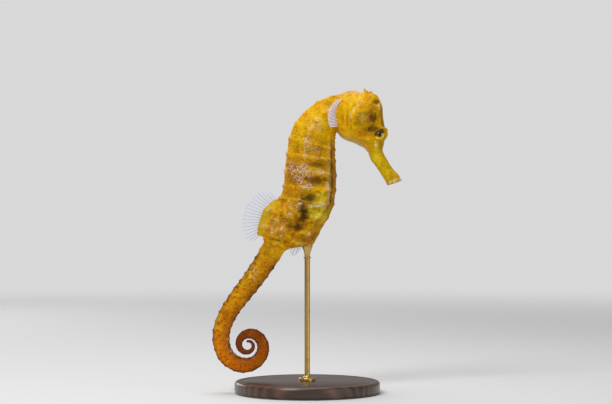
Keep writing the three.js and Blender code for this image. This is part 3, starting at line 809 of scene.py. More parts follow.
# marks on both flanks, by tint: X, Z, half breadth, half height, strength
marks = {
    "gold": [
        (16.0, 96.6, 3.4, 1.8, 0.6),
        (13.6, 92.6, 1.6, 3.0, 0.6),
        (15.2, 94.0, 1.2, 3.6, 0.8),
        (3.8, 92.2, 3.6, 3.0, 0.3),
        (-2.4, 85.6, 1.6, 4.6, 0.5),
        (4.1, 67.0, 3.0, 1.0, 0.95),
        (3.0, 77.3, 4.0, 0.7, 0.4),
        (-7.8, 60.6, 1.7, 1.2, 0.7),
        (-10.2, 57.4, 1.5, 1.3, 0.6),
        (18.4, 87.8, 2.2, 0.7, 0.45),
        (23.8, 96.9, 0.6, 0.8, 0.5),
        (21.0, 84.0, 2.0, 0.9, 0.4),
    ],
    "lime": [
        (3.4, 60.0, 3.3, 3.2, 1.0),
        (4.6, 64.6, 2.6, 1.6, 0.7),
        (6.2, 57.6, 1.6, 3.0, 0.6),
        (2.6, 73.9, 2.2, 0.9, 0.3),
        (5.2, 88.4, 2.0, 1.8, 0.35),
        (23.6, 78.0, 1.6, 3.4, 0.4),
    ],
    "moss": [
        (4.7, 75.6, 3.0, 1.4, 0.8),
        (5.6, 83.3, 2.0, 1.4, 0.5),
        (5.6, 87.4, 1.8, 1.4, 0.35),
        (-0.2, 64.3, 3.0, 2.2, 0.75),
        (19.8, 89.4, 3.4, 3.5, 0.62),
        (17.7, 89.6, 1.7, 2.3, 0.85),
        (21.4, 93.6, 1.6, 1.8, 0.4),
        (3.4, 80.2, 2.8, 1.2, 0.75),
    ],
    "rust": [
        (-4.4, 70.2, 2.6, 1.9, 0.6),
        (-5.2, 74.4, 2.0, 1.8, 0.55),
        (-6.0, 66.4, 1.6, 0.8, 0.3),
        (-5.3, 54.8, 2.0, 1.2, 0.55),
        (2.2, 51.6, 2.2, 1.3, 0.75),
        (-1.0, 50.8, 2.4, 1.0, 0.75),
        (9.4, 97.4, 1.2, 0.5, 0.6),
        (7.4, 95.4, 2.0, 1.1, 0.5),
        (20.2, 96.8, 1.8, 0.7, 0.3),
        # painted shade in the hollow in front of the gill cover
        (21.6, 90.4, 1.6, 2.0, 0.7),
        (19.2, 85.9, 2.3, 1.1, 0.8),
        (28.2, 71.8, 0.9, 1.3, 0.4),
        (12.2, 90.3, 0.6, 2.2, 0.55),
        (2.2, 75.4, 3.0, 1.1, 0.5),
        (18.8, 94.2, 2.0, 1.0, 0.4),
        (22.0, 93.4, 1.1, 1.3, 0.45),
        (24.6, 81.4, 0.45, 1.5, 0.6),
        (24.9, 92.0, 0.4, 3.4, 0.55),
        (13.9, 90.6, 0.5, 3.2, 0.6),
        (22.0, 84.8, 1.6, 1.0, 0.4),
        (-9.2, 54.6, 1.6, 1.0, 0.35),
        (-26.5, 25.7, 1.3, 2.4, 0.7),
        (-14.9, 43.2, 1.4, 1.8, 0.45),
    ],
    "dark": [
        (-4.6, 72.4, 2.4, 2.4, 0.3),
        (3.0, 69.9, 2.6, 1.3, 0.78),
        (5.4, 70.4, 1.4, 0.8, 0.6),
        (0.2, 70.6, 1.6, 0.6, 0.6),
        (3.2, 75.3, 3.0, 0.9, 0.45),
        (7.9, 70.2, 0.8, 2.8, 0.7),
        (7.9, 74.9, 0.7, 1.5, 0.6),
        (0.2, 64.2, 2.8, 1.6, 0.8),
        (-1.2, 59.4, 1.9, 2.6, 1.0),
        (-1.9, 57.4, 1.8, 1.2, 0.85),
        (-3.1, 54.9, 1.6, 1.7, 0.9),
        (-5.4, 55.2, 1.8, 1.0, 0.5),
        (-6.2, 59.4, 0.5, 1.4, 0.35),
        (6.5, 61.0, 0.7, 2.6, 0.45),
        # painted shade in the hollow in front of the gill cover
        (22.2, 91.2, 1.3, 1.7, 0.7),
        (23.2, 95.9, 0.9, 0.75, 0.8),
        # the next two, just above the eye: painted shade under the brow
        (23.4, 86.7, 2.2, 0.7, 0.6),
        (22.3, 86.8, 2.3, 1.2, 0.8),
        (25.2, 90.6, 0.4, 3.6, 0.45),
        (20.2, 91.9, 2.2, 0.8, 0.25),
        (15.1, 89.6, 0.4, 2.6, 0.45),
    ],
    "pale": [
        (3.2, 61.6, 2.2, 0.45, 0.95),
        (4.9, 72.8, 1.6, 0.8, 0.25),
        (6.6, 68.2, 0.6, 0.9, 0.35),
        (8.3, 65.0, 0.5, 0.5, 0.6),
        (-7.6, 73.5, 0.7, 0.9, 0.9),
        (-6.1, 63.4, 0.4, 0.35, 0.9),
        (-2.4, 62.5, 0.5, 0.4, 0.9),
        (-8.5, 51.9, 0.42, 0.4, 0.9),
        (-11.7, 52.9, 0.4, 0.4, 0.7),
        (-5.4, 59.0, 0.42, 0.8, 0.7),
        (-10.4, 57.2, 0.7, 0.5, 0.4),
        (0.8, 52.2, 0.8, 0.4, 0.55),
        (-2.4, 49.4, 1.6, 0.4, 0.4),
        (3.0, 77.5, 4.0, 0.3, 0.22),
        (-0.8, 80.2, 0.4, 2.8, 0.35),
        (24.1, 94.2, 0.38, 1.0, 0.8),
        (23.2, 81.7, 0.42, 0.5, 1.0),
        (23.2, 82.9, 0.25, 0.3, 0.7),
        (25.6, 83.8, 0.3, 0.35, 0.35),
        (18.5, 96.1, 0.6, 0.4, 0.65),
        (17.2, 94.9, 0.5, 0.7, 0.8),
        (16.2, 93.2, 0.38, 1.0, 0.8),
        (15.1, 91.1, 0.3, 1.0, 0.65),
        (3.9, 90.5, 1.1, 0.6, 0.42),
        (2.1, 87.9, 0.7, 0.8, 0.45),
        (1.2, 86.5, 0.7, 0.4, 0.35),
        (-1.2, 92.9, 0.5, 0.5, 0.7),
        (-4.5, 88.6, 0.5, 0.6, 0.6),
        (7.0, 93.2, 1.4, 0.7, 0.35),
    ],
    "speckle": [
        (-2.0, 73.2, 3.6, 2.2, 0.9),
        (-2.6, 70.4, 2.0, 1.8, 0.95),
        (0.5, 68.2, 2.2, 1.2, 0.8),
        (4.8, 72.8, 1.8, 1.1, 0.7),
        (-5.6, 74.6, 1.4, 1.6, 0.6),
        (6.5, 68.2, 0.9, 1.2, 0.8),
        (0.1, 83.2, 1.4, 2.0, 0.8),
        (1.6, 80.2, 2.6, 1.2, 0.4),
        (3.2, 62.2, 2.4, 0.8, 0.7),
        (-3.0, 61.4, 3.0, 1.4, 0.3),
        (19.3, 90.6, 2.4, 1.2, 0.2),
        (-10.0, 55.0, 3.6, 2.6, 0.25),
        (-17.4, 39.0, 1.5, 2.3, 0.25),
        (2.6, 88.6, 2.6, 2.4, 0.3),
    ],
}


def markShare(rows, x, z, waver):
    total = np.zeros(len(x))
    for markX, markZ, breadth, height, strength in rows:
        off = np.sqrt(((x - markX) / breadth) ** 2 + ((z - markZ) / height) ** 2) + waver
        total = np.maximum(total, strength * (1 - smoothStep(0.5, 1.3, off)))
    return total


def paintSkin(mesh):
    points = getPoints(mesh)
    x, y, z = points.T
    ring, fold = getFloats(mesh, "ring"), getFloats(mesh, "fold")
    onSide = smoothStep(0.4, 1.8, np.abs(y))
    broad, fine, grain = noiseAt(points, 2.2, 3.0), noiseAt(points, 0.8, 5.0), noiseAt(points, 0.35, 8.0)
    waver = 0.45 * broad + 0.4 * fine + 0.25 * grain
    side = np.where(y < 0, 0.0, 0.35)  # the far flank's marks are a little off the near ones
    paint = {tint: markShare(rows, x + side, z - side, waver) * onSide for tint, rows in marks.items()}

    def add(tint, share):
        paint[tint] = np.maximum(paint.get(tint, 0), share)

    crest, ridge = crestShare(ring), ridgeShare(ring, fold)
    knob = ridge * bell(ring - np.round(ring), 0.15) * smoothStep(0.6, 1.2, ring)
    onTrunk = between(ring, 4.4, 12.1, 0.5)
    onTail = smoothStep(12.5, 14, ring)
    # a dark band between the flank and the keel, with a pale line above it
    band = bell(fold - 5.62 - 0.1 * broad, 0.28) * between(ring, 4.6, 9.6, 0.9)
    add("dark", band * np.clip(0.85 + 0.9 * fine - 0.5 * crest, 0, 1))
    add("pale", np.clip(0.35 + 0.6 * broad, 0, 0.6) * bell(fold - 5.1, 0.13) * between(ring, 4.4, 9.4, 0.6))
    # shade in the hollows between the rings, light on their crests
    hollow = (1 - crest) * onTrunk * between(fold, 1.4, 5.1, 0.4)
    add("moss", hollow * np.clip(0.3 + 1.0 * broad + 0.5 * fine, 0, 0.75))
    add("rust", hollow * np.clip(0.05 - 0.9 * broad + 0.6 * fine, 0, 0.45))
    add("pale", 0.6 * knob * onTrunk * (fold < 5.5) * smoothStep(-0.3, 0.2, fine))
    add("gold", np.clip(0.3 + 0.7 * fine, 0, 0.55) * crest * onTrunk * between(fold, 1.4, 4.8, 0.3))
    # the hip's lumps get a painted highlight on top, and brown between them that is partly the skin's own colour and
    # partly painted shade
    lumpy, onHip = hipNoise(points), hipShare(ring, fold)
    add("rust", onHip * np.clip(-2.2 * lumpy, 0, 0.8))
    add("gold", onHip * np.clip(2.4 * lumpy - 0.2, 0, 0.8))
    # the smooth foot of the back fin, and the pale rims of nape and jaw, which are a painted rim light as from a lamp
    # behind
    finFoot = (1 - smoothStep(0.9, 1.7, fold)) * between(ring, 9.5, 11.6, 0.15)
    add("moss", 0.45 * finFoot)
    add("lime", 0.4 * finFoot)
    add("pearly", 0.6 * bell(fold, 1.0) * between(ring, -2.2, 0.4, 0.5))
    add("pale", bell(fold - 7, 1.05) * between(ring, -8.4, -0.6, 0.5))
    add("pearly", 0.5 * bell(fold - 7, 0.75) * between(ring, -7.6, -1.2, 1.2))
    add("rust", 0.6 * bell(fold, 0.8) * between(ring, -13.0, -9.2, 0.3))
    add("pearly", 0.65 * (1 - smoothStep(-12.75, -12.4, ring)) * smoothStep(-0.1, 0.12, fine))
    add("rust", 0.6 * (1 - smoothStep(-12.9, -12.5, ring)) * smoothStep(0.05, -0.2, fine) * (1 - smoothStep(0.6, 1.4, fold)))
    # pale blotches on the inner edge of the coil, dark edges all along the tail
    inner = bell(fold - 4.8, 0.6) * between(ring, 23, 31.5, 1.2)
    add("pale", 0.6 * inner * bell(ring - np.round(ring), 0.26) * smoothStep(-0.15, 0.25, broad))
    edges = np.maximum(bell(fold - 0.95, 0.5), bell(fold - 5.0, 0.5))
    beads = bell(ring - np.round(ring), 0.3)
    coiled = smoothStep(21, 31, ring)
    paint["edge"] = onTail * np.clip(1.15 * edges * (0.55 + 0.45 * np.maximum(beads, coiled)) * (1 + 0.6 * fine), 0, 1)
    add("dark", onTail * np.clip(0.8 * fine - 0.12, 0, 0.25) * (1 - 0.5 * crest))
    add("rust", onTail * np.clip(1.5 * fine, 0, 0.7) * between(ring, 13, 30, 2))
    add("rust", onTail * smoothStep(2.6, 4.8, fold) * np.clip(0.6 + 0.9 * broad, 0, 0.95))
    add("gold", onTail * (1 - smoothStep(2.2, 3.4, fold)) * np.clip(0.2 + 0.9 * broad, 0, 0.6) * (1 - coiled))
    near = [aroundEye(points, s) for s in (-1, 1)]
    onLid = np.zeros(len(x))
    for side, (_, _, reach, off, turn) in zip((-1, 1), near):
        lid = (reach < 2.7) * (1 - smoothStep(50, 68, off))
        below = smoothStep(0.25, -0.45, np.sin(turn - 0.35))
        onLid = np.maximum(onLid, lid * below)
        # painted shade: the upper lid is painted dark, as under the brow, while the lower lid keeps its yellow
        paint["dark"] = np.maximum(paint["dark"] * (1 - lid * below), 0.92 * lid * (1 - below))
        # painted highlight on the far eye only: its dome loses the dark and is painted gold, against the shade the
        # lamps leave there
        if side > 0:
            dome = (reach < 3.0) * smoothStep(52, 66, off)
            paint["dark"] = paint["dark"] * (1 - 0.8 * dome)
            paint["gold"] = np.maximum(paint["gold"], 0.8 * dome * (1 - smoothStep(110, 135, off)))
    paint["lid"] = onLid
    warty = 0.16 + 0.5 * ridge * onTrunk + 0.35 * crest * onTrunk + 0.25 * onTail * ridge
    paint["wart"] = (warty + 2.2 * paint["speckle"]) * smoothStep(-12.2, -9.5, ring) * (1 - smoothStep(36, 44, ring)) * (1 - onLid)
    for name, share in paint.items():
        setFloats(mesh, name, np.clip(share, 0, 3))


def toFrame(points, ring):
    return turnWithHead(points, ring) * mm


def makeSkin():
    mesh = buildSkinMesh()
    sculptSkin(mesh)
    paintSkin(mesh)
    setPoints(mesh, toFrame(getPoints(mesh), getFloats(mesh, "ring")))
    mesh.polygons.foreach_set("use_smooth", [True] * len(mesh.polygons))
    return newObject("skin", mesh)


skin = makeSkin()
print("skin: one sheet from the lips to the tail,", len(skin.data.polygons), "faces")


# ring number along the body against the colour of the skin there
skinFinish = {
    "along": [
        (-14.0, (198, 172, 120)),
        (-12.9, (196, 160, 40)),
        (-12.2, (198, 164, 0)),
        (-9.0, (206, 170, 0)),
        (-7.0, (196, 150, 0)),
        (-4.5, (206, 150, 0)),
        (-1.5, (224, 170, 0)),
        (1.0, (216, 162, 0)),
        (4.0, (222, 168, 0)),
        (6.0, (208, 146, 0)),
        (8.5, (194, 132, 0)),
        (11.0, (206, 142, 2)),
        (12.6, (196, 140, 2)),
        (16.0, (206, 142, 0)),
        (19.5, (214, 140, 0)),
        (22.5, (210, 124, 0)),
        (26.0, (218, 120, 0)),
        (31.0, (176, 87, 0)),
        (36.0, (130, 57, 2)),
        (40.0, (126, 52, 14)),
        (48.0, (96, 44, 40)),
    ],
    "firstRing": -14.0,
    "lastRing": 48.0,
    "belly": (180, 112, 0),
    "olive": (124, 98, 0),
    "amber": (206, 112, 0),
    "light": (238, 194, 10),
    "deep": (112, 74, 2),
    "edge": (54, 22, 34),
    "pearl": (222, 208, 226),
    "tints": {
        "gold": (240, 192, 0),
        "lime": (242, 224, 46),
        "moss": (132, 110, 0),
        "rust": (148, 74, 0),
        "lid": (250, 216, 30),
        "dark": (42, 19, 0),
        "pale": (234, 206, 150),
        "pearly": (216, 200, 214),
    },
}


def makeGrainGroup():
    # fine wrinkled grain, for all of the animal's surfaces
    group = bpy.data.node_groups.new("fineGrain", "ShaderNodeTree")
    group.interface.new_socket("Scale", in_out="INPUT", socket_type="NodeSocketFloat")
    group.interface.new_socket("Pores", in_out="INPUT", socket_type="NodeSocketFloat")
    group.interface.new_socket("Height", in_out="OUTPUT", socket_type="NodeSocketFloat")
    group.interface.new_socket("Tone", in_out="OUTPUT", socket_type="NodeSocketFloat")
    nodes = Nodes(group)
    given = nodes.add("NodeGroupInput").outputs
    place = nodes.add("ShaderNodeTexCoord").outputs["Object"]
    scale = given["Scale"]
    cloud = nodes.add("ShaderNodeTexNoise", {"Vector": place, "Scale": scale, "Detail": 6.0, "Roughness": 0.6})
    cells = nodes.add("ShaderNodeTexVoronoi", {"Vector": place, "Scale": nodes.calc("MULTIPLY", scale, 1.7)})
    pores = nodes.calc("MULTIPLY", cells.outputs["Distance"], given["Pores"])
    height = nodes.calc("ADD", cloud.outputs["Fac"], pores)
    result = nodes.add("NodeGroupOutput")
    nodes.feed(result.inputs["Height"], height)
    nodes.feed(result.inputs["Tone"], cloud.outputs["Fac"])
    return group


grainGroup = makeGrainGroup()


def placeGrain(nodes, scale, pores):
    node = nodes.add("ShaderNodeGroup", node_tree=grainGroup)
    node.inputs["Scale"].default_value = scale
    node.inputs["Pores"].default_value = pores
    return node.outputs["Height"], node.outputs["Tone"]


def makeSkinMaterial():
    material, nodes, shader = newMaterial("seahorseSkin")
    look = skinFinish
    place = nodes.add("ShaderNodeTexCoord").outputs["Object"]

    def cloud(scale, detail=4.0, seed=0.0):
        sockets = {"Vector": place, "Scale": scale, "Detail": detail, "Roughness": 0.65, "W": seed}
        return nodes.add("ShaderNodeTexNoise", sockets, noise_dimensions="4D").outputs["Fac"]

    height, tone = placeGrain(nodes, 1900.0, 0.7)
    broad, olive, amber, mottle = cloud(260.0), cloud(420.0, 3.0), cloud(310.0, 3.0, 3.0), cloud(900.0, 6.0, 6.0)
    ring = nodes.attribute("ring")
    wander = nodes.calc("MULTIPLY_ADD", broad, 3.0)
    wander.node.inputs[2].default_value = -1.5
    along = nodes.calc("ADD", ring, wander)
    reach = look["lastRing"] - look["firstRing"]
    share = nodes.calc("DIVIDE", nodes.calc("SUBTRACT", along, look["firstRing"]), reach)
    stops = [((at - look["firstRing"]) / reach, colour(*tint)) for at, tint in look["along"]]
    skinColour = nodes.ramp(share, stops)
    # the keel side of the trunk is browner
    low = nodes.span(nodes.attribute("fold"), 5.3, 6.2)
    onTrunk = nodes.calc("MULTIPLY", nodes.span(ring, 2.5, 5.5), nodes.span(ring, 11.0, 8.8, 0.25, 1.0))
    skinColour = nodes.mix(nodes.calc("MULTIPLY", low, nodes.calc("MULTIPLY", onTrunk, 0.7)), skinColour, colour(*look["belly"]))
    # cloudy patches: olive, amber and light yellow, each at its own scale
    onBody = nodes.span(ring, 2.0, 5.0, 0.3, 0.8)
    oliveShare = nodes.calc("MULTIPLY", nodes.span(olive, 0.5, 0.66, 0.0, 0.6), onBody)
    skinColour = nodes.mix(nodes.calc("MULTIPLY", oliveShare, nodes.span(ring, 20.0, 14.0)), skinColour, colour(*look["olive"]))
    skinColour = nodes.mix(nodes.span(amber, 0.5, 0.68, 0.0, 0.5), skinColour, colour(*look["amber"]))
    lightShare = nodes.calc("MULTIPLY", nodes.span(broad, 0.52, 0.7, 0.0, 0.4), nodes.span(ring, 18.0, 12.0, 0.25, 1.0))
    skinColour = nodes.mix(lightShare, skinColour, colour(*look["light"]))
    for tint in ("gold", "lime", "moss", "rust"):
        skinColour = nodes.mix(nodes.calc("MULTIPLY", nodes.attribute(tint), 0.85), skinColour, colour(*look["tints"][tint]))
    # mottling: small clouds, then grains that each have their own tone
    skinColour = nodes.mix(nodes.span(mottle, 0.5, 0.3, 0.0, 0.45), skinColour, colour(*look["deep"]))
    skinColour = nodes.mix(nodes.span(tone, 0.48, 0.3, 0.0, 0.3), skinColour, colour(*look["deep"]))
    cells = nodes.add("ShaderNodeTexVoronoi", {"Vector": place, "Scale": 2100.0}).outputs["Color"]
    grains = nodes.add("ShaderNodeSeparateColor", {"Color": cells}).outputs["Red"]
    skinColour = nodes.mix(nodes.span(grains, 0.6, 1.0, 0.0, 0.16), skinColour, colour(*look["deep"]))
    lit = nodes.calc("MULTIPLY", nodes.span(grains, 0.35, 0.0, 0.0, 0.2), nodes.span(ring, 20.0, 12.0))
    skinColour = nodes.mix(lit, skinColour, colour(*look["light"]))
    edge = nodes.calc("MULTIPLY", nodes.attribute("edge"), nodes.span(mottle, 0.3, 0.6, 0.95, 0.6))
    skinColour = nodes.mix(edge, skinColour, colour(*look["edge"]))
    for tint, most in (("lid", 0.9), ("dark", 0.94), ("pale", 0.8), ("pearly", 0.8)):
        patchy = nodes.calc("MULTIPLY", nodes.attribute(tint), nodes.span(mottle, 0.28, 0.5, most * 0.75, most))
        skinColour = nodes.mix(patchy, skinColour, colour(*look["tints"][tint]))
    # pearly specks, in two sizes
    for scale, wide in ((1500.0, 0.34), (2500.0, 0.4)):
        dots = nodes.add("ShaderNodeTexVoronoi", {"Vector": place, "Scale": scale}).outputs["Distance"]
        spread = nodes.calc("MULTIPLY", nodes.span(mottle, 0.35, 0.6), wide)
        dotted = nodes.calc("MULTIPLY", nodes.span(nodes.calc("SUBTRACT", dots, spread), 0.06, -0.06), nodes.attribute("speckle"))
        skinColour = nodes.mix(nodes.calc("MULTIPLY", dotted, 0.8), skinColour, colour(*look["pearl"]))
    skinColour = nodes.mix(nodes.attribute("pearl"), skinColour, colour(*look["pearl"]))
    nodes.feed(shader.inputs["Base Color"], skinColour)
    nodes.feed(shader.inputs["Roughness"], nodes.span(tone, 0.3, 0.7, 0.4, 0.6))
    shader.inputs["Subsurface Weight"].default_value = 0.1
    shader.inputs["Subsurface Radius"].default_value = (1.0, 0.45, 0.15)
    shader.inputs["Subsurface Scale"].default_value = 0.0006
    shader.inputs["Specular IOR Level"].default_value = 0.08
    # creases that run round the body, finer than the rings
    creases = nodes.add("ShaderNodeTexWave", {"Vector": nodes.add("ShaderNodeCombineXYZ", {"X": ring}).outputs[0]})
    creases.inputs["Scale"].default_value = 1.6
    creases.inputs["Distortion"].default_value = 1.2
    creases.inputs["Detail Scale"].default_value = 3.0
    crease = nodes.calc("MULTIPLY", creases.outputs["Fac"], nodes.span(ring, -1.0, 1.5, 0.0, 0.3))
    bump = nodes.add("ShaderNodeBump", {"Height": nodes.calc("ADD", height, crease)})
    bump.inputs["Strength"].default_value = 0.8
    bump.inputs["Distance"].default_value = 0.00022
    nodes.feed(shader.inputs["Normal"], bump.outputs["Normal"])
    return material


skinMaterial = makeSkinMaterial()
skin.data.materials.append(skinMaterial)
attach(skin, "root")
tailNodes = ["tail_" + str(count) for count in range(1, 9)]
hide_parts("mouth", "snout", "head", "coronet", "neck", "trunk_upper", "trunk_lower", *tailNodes)


wartShape = {
    "density": 1.1e6,  # to the square metre where the painted share is 1
    "seed": 11,
    "least": 0.00009,
    "most": 0.0002,
    "flatness": 0.62,
    "segments": 8,
    "rings": 4,
    "pearlShare": 0.6,
    "patch": 0.0015,  # half the breadth of a wart's place on the unwrap
}


def makeWartTree():
    # small round warts strewn over the skin, thickest where the skin is painted for them
    tree = bpy.data.node_groups.new("skinWarts", "GeometryNodeTree")
    tree.interface.new_socket("Geometry", in_out="INPUT", socket_type="NodeSocketGeometry")
    sizes = {}
    for label in ("Density", "Least", "Most", "Flatness", "Pearl Share", "Patch"):
        sizes[label] = tree.interface.new_socket(label, in_out="INPUT", socket_type="NodeSocketFloat").identifier
    for label in ("Segments", "Rings", "Seed"):
        sizes[label] = tree.interface.new_socket(label, in_out="INPUT", socket_type="NodeSocketInt").identifier
    sizes["Finish"] = tree.interface.new_socket("Finish", in_out="INPUT", socket_type="NodeSocketMaterial").identifier
    tree.interface.new_socket("Geometry", in_out="OUTPUT", socket_type="NodeSocketGeometry")
    nodes = Nodes(tree)
    given = nodes.add("NodeGroupInput").outputs

    def named(name, kind="FLOAT"):
        return nodes.add("GeometryNodeInputNamedAttribute", {"Name": name}, data_type=kind).outputs["Attribute"]

    def store(geometry, name, value, kind="FLOAT", domain="POINT"):
        sockets = {"Geometry": geometry, "Name": name, "Value": value}
        return nodes.add("GeometryNodeStoreNamedAttribute", sockets, data_type=kind, domain=domain).outputs["Geometry"]

    def chance(low, high, seed):
        sockets = {2: low, 3: high, "Seed": seed}
        return nodes.add("FunctionNodeRandomValue", sockets, data_type="FLOAT").outputs[1]

    skinMesh = store(given["Geometry"], "rootPlace", named("OFBake", "FLOAT_VECTOR"), "FLOAT_VECTOR", "CORNER")
    thick = nodes.calc("MULTIPLY", named("wart"), given["Density"])
    strewn = nodes.add("GeometryNodeDistributePointsOnFaces", {"Mesh": skinMesh, "Density": thick, "Seed": given["Seed"]})
    isPearl = nodes.calc("LESS_THAN", chance(0.0, 1.0, 3), nodes.calc("MULTIPLY", named("speckle"), given["Pearl Share"]))
    spots = store(strewn.outputs["Points"], "pearl", isPearl)
    ball = nodes.add("GeometryNodeMeshUVSphere", {"Segments": given["Segments"], "Rings": given["Rings"], "Radius": 1.0})
    ball = store(ball.outputs["Mesh"], "onWart", nodes.add("GeometryNodeInputPosition").outputs[0], "FLOAT_VECTOR")
    # warts shrink along the tail
    wide = nodes.calc("MULTIPLY", chance(given["Least"], given["Most"], 5), nodes.span(named("ring"), 34.0, 12.0, 0.55, 1.0))
    high = nodes.calc("MULTIPLY", wide, given["Flatness"])
    size = nodes.add("ShaderNodeCombineXYZ", {"X": wide, "Y": wide, "Z": high}).outputs[0]
    sockets = {"Points": spots, "Instance": ball, "Rotation": strewn.outputs["Rotation"], "Scale": size}
    placed = nodes.add("GeometryNodeInstanceOnPoints", sockets).outputs["Instances"]
    solid = nodes.add("GeometryNodeRealizeInstances", {"Geometry": placed}).outputs["Geometry"]
    aside = nodes.add("ShaderNodeVectorMath", {0: named("onWart", "FLOAT_VECTOR"), "Scale": given["Patch"]}, operation="SCALE")
    patch = nodes.add("ShaderNodeVectorMath", {0: named("rootPlace", "FLOAT_VECTOR"), 1: aside.outputs[0]}, operation="ADD")
    solid = store(solid, "OFBake", patch.outputs[0], "FLOAT2", "CORNER")
    smooth = nodes.add("GeometryNodeSetShadeSmooth", {"Geometry": solid}).outputs["Geometry"]
    done = nodes.add("GeometryNodeSetMaterial", {"Geometry": smooth, "Material": given["Finish"]}).outputs["Geometry"]
    nodes.feed(nodes.add("NodeGroupOutput").inputs["Geometry"], done)
    return tree, sizes


def makeWarts():
    tree, sockets = makeWartTree()
    carrier = newObject("wartGround", skin.data.copy())
    modifier = carrier.modifiers.new("warts", "NODES")
    modifier.node_group = tree
    given = {
        "Density": wartShape["density"],
        "Least": wartShape["least"],
        "Most": wartShape["most"],
        "Flatness": wartShape["flatness"],
        "Pearl Share": wartShape["pearlShare"],
        "Patch": wartShape["patch"],
        "Segments": wartShape["segments"],
        "Rings": wartShape["rings"],
        "Seed": wartShape["seed"],
        "Finish": skinMaterial,
    }
    for label, value in given.items():
        modifier[sockets[label]] = value
    return bake(carrier, "warts")


warts = makeWarts()
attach(warts, "root")
print("warts:", len(warts.data.polygons), "faces")


eyeFinish = {
    "pupil": (27, 19),
    "pupilSlant": -28,
    "iris": (150, 120, 14),
    "irisStreak": (96, 66, 8),
    # the colour for the top of the iris is painted shade under the brow
    "irisShadedTop": (60, 38, 8),
    "irisRing": (196, 160, 60),
    "rim": (34, 22, 6),
    # a painted glint: the next colour is a white spot on the iris beside the pupil
    "paintedGlint": (236, 230, 214),
    "rows": 40,
    "columns": 72,
}


def makeEye(name, side):
    centre, axis, up, fore = eyeFrame(side)
    points, off, turn, faces = [], [], [], []
    rows, columns = eyeFinish["rows"], eyeFinish["columns"]
    for r in range(rows + 1):
        away = math.pi * (r / rows) ** 1.25
        # the clear cornea bulges over the pupil
        reach = eyeShape["radius"] * (1 + 0.045 * bell(math.degrees(away), 30))
        for k in range(columns if 0 < r < rows else 1):
            about = 2 * math.pi * k / columns
            ray = axis * math.cos(away) + (fore * math.cos(about) + up * math.sin(about)) * math.sin(away)
            points.append(centre + ray * reach)
            off.append(math.degrees(away))
            turn.append(about)
    start = [0] + [1 + columns * r for r in range(rows)]
    for k in range(columns):
        nxt = (k + 1) % columns
        faces.append((0, 1 + k, 1 + nxt))
        for r in range(1, rows - 1):
            faces.append((start[r] + k, start[r + 1] + k, start[r + 1] + nxt, start[r] + nxt))
        faces.append((start[rows - 1] + k, start[rows], start[rows - 1] + nxt))
    if side > 0:
        faces = [face[::-1] for face in faces]
    mesh = meshFrom(name, toFrame(np.array(points), np.full(len(points), -7.0)), faces)
    setFloats(mesh, "off", off)
    setFloats(mesh, "turnX", np.cos(turn))
    setFloats(mesh, "turnY", np.sin(turn))
    return newObject(name, mesh)


def makeEyeMaterial():
    material, nodes, shader = newMaterial("seahorseEye")
    look = eyeFinish
    off, fore, up = nodes.attribute("off"), nodes.attribute("turnX"), nodes.attribute("turnY")
    turn = nodes.add("ShaderNodeCombineXYZ", {"X": fore, "Y": up}).outputs[0]
    streaks = nodes.add("ShaderNodeTexNoise", {"Vector": turn, "Scale": 9.0, "Detail": 3.0}).outputs["Fac"]
    iris = nodes.mix(nodes.span(streaks, 0.42, 0.6), colour(*look["irisStreak"]), colour(*look["iris"]))
    # painted shade under the brow: the iris darkens towards its top
    iris = nodes.mix(nodes.span(up, -0.4, 0.4, 0.0, 0.9), iris, colour(*look["irisShadedTop"]))
    # the pupil is a slanted oval: how far out a point lies, as a share of the oval
    slant = math.radians(look["pupilSlant"])
    lengthwise = nodes.calc("ADD", nodes.calc("MULTIPLY", fore, math.cos(slant)), nodes.calc("MULTIPLY", up, math.sin(slant)))
    crosswise = nodes.calc("SUBTRACT", nodes.calc("MULTIPLY", up, math.cos(slant)), nodes.calc("MULTIPLY", fore, math.sin(slant)))
    wide = nodes.calc("DIVIDE", lengthwise, look["pupil"][0])
    high = nodes.calc("DIVIDE", crosswise, look["pupil"][1])
    oval = nodes.calc("SQRT", nodes.calc("ADD", nodes.calc("MULTIPLY", wide, wide), nodes.calc("MULTIPLY", high, high)))
    out = nodes.calc("MULTIPLY", oval, off)
    ringLine = nodes.span(nodes.calc("ABSOLUTE", nodes.calc("SUBTRACT", out, 1.14)), 0.1, 0.02, 0.0, 0.3)
    iris = nodes.mix(nodes.calc("MULTIPLY", ringLine, nodes.span(up, 0.2, -0.3)), iris, colour(*look["irisRing"]))
    # a painted glint: a small white spot on the iris at the front of the pupil
    paintedGlint = nodes.calc("MULTIPLY", nodes.span(fore, 0.9, 0.98), nodes.calc("MULTIPLY", nodes.span(off, 24.0, 27.0), nodes.span(off, 36.0, 32.0)))
    iris = nodes.mix(paintedGlint, iris, colour(*look["paintedGlint"]))
    iris = nodes.mix(nodes.span(off, 35.0, 42.0), iris, colour(*look["rim"]))
    nodes.feed(shader.inputs["Base Color"], nodes.mix(nodes.span(out, 1.04, 0.96), iris, colour(5, 4, 4)))
    nodes.feed(shader.inputs["Roughness"], nodes.span(streaks, 0.3, 0.7, 0.03, 0.07))
    shader.inputs["Specular IOR Level"].default_value = 0.35
    shader.inputs["Coat Weight"].default_value = 0.1
    shader.inputs["Coat Roughness"].default_value = 0.03
    return material


eyeMaterial = makeEyeMaterial()
for name, node, side in (("eyeRight", "eye_right", -1), ("eyeLeft", "eye_left", 1)):
    eyeball = makeEye(name, side)
    eyeball.data.materials.append(eyeMaterial)
    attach(eyeball, "root")
    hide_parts(node)
print("eyes: two, set under their lids")


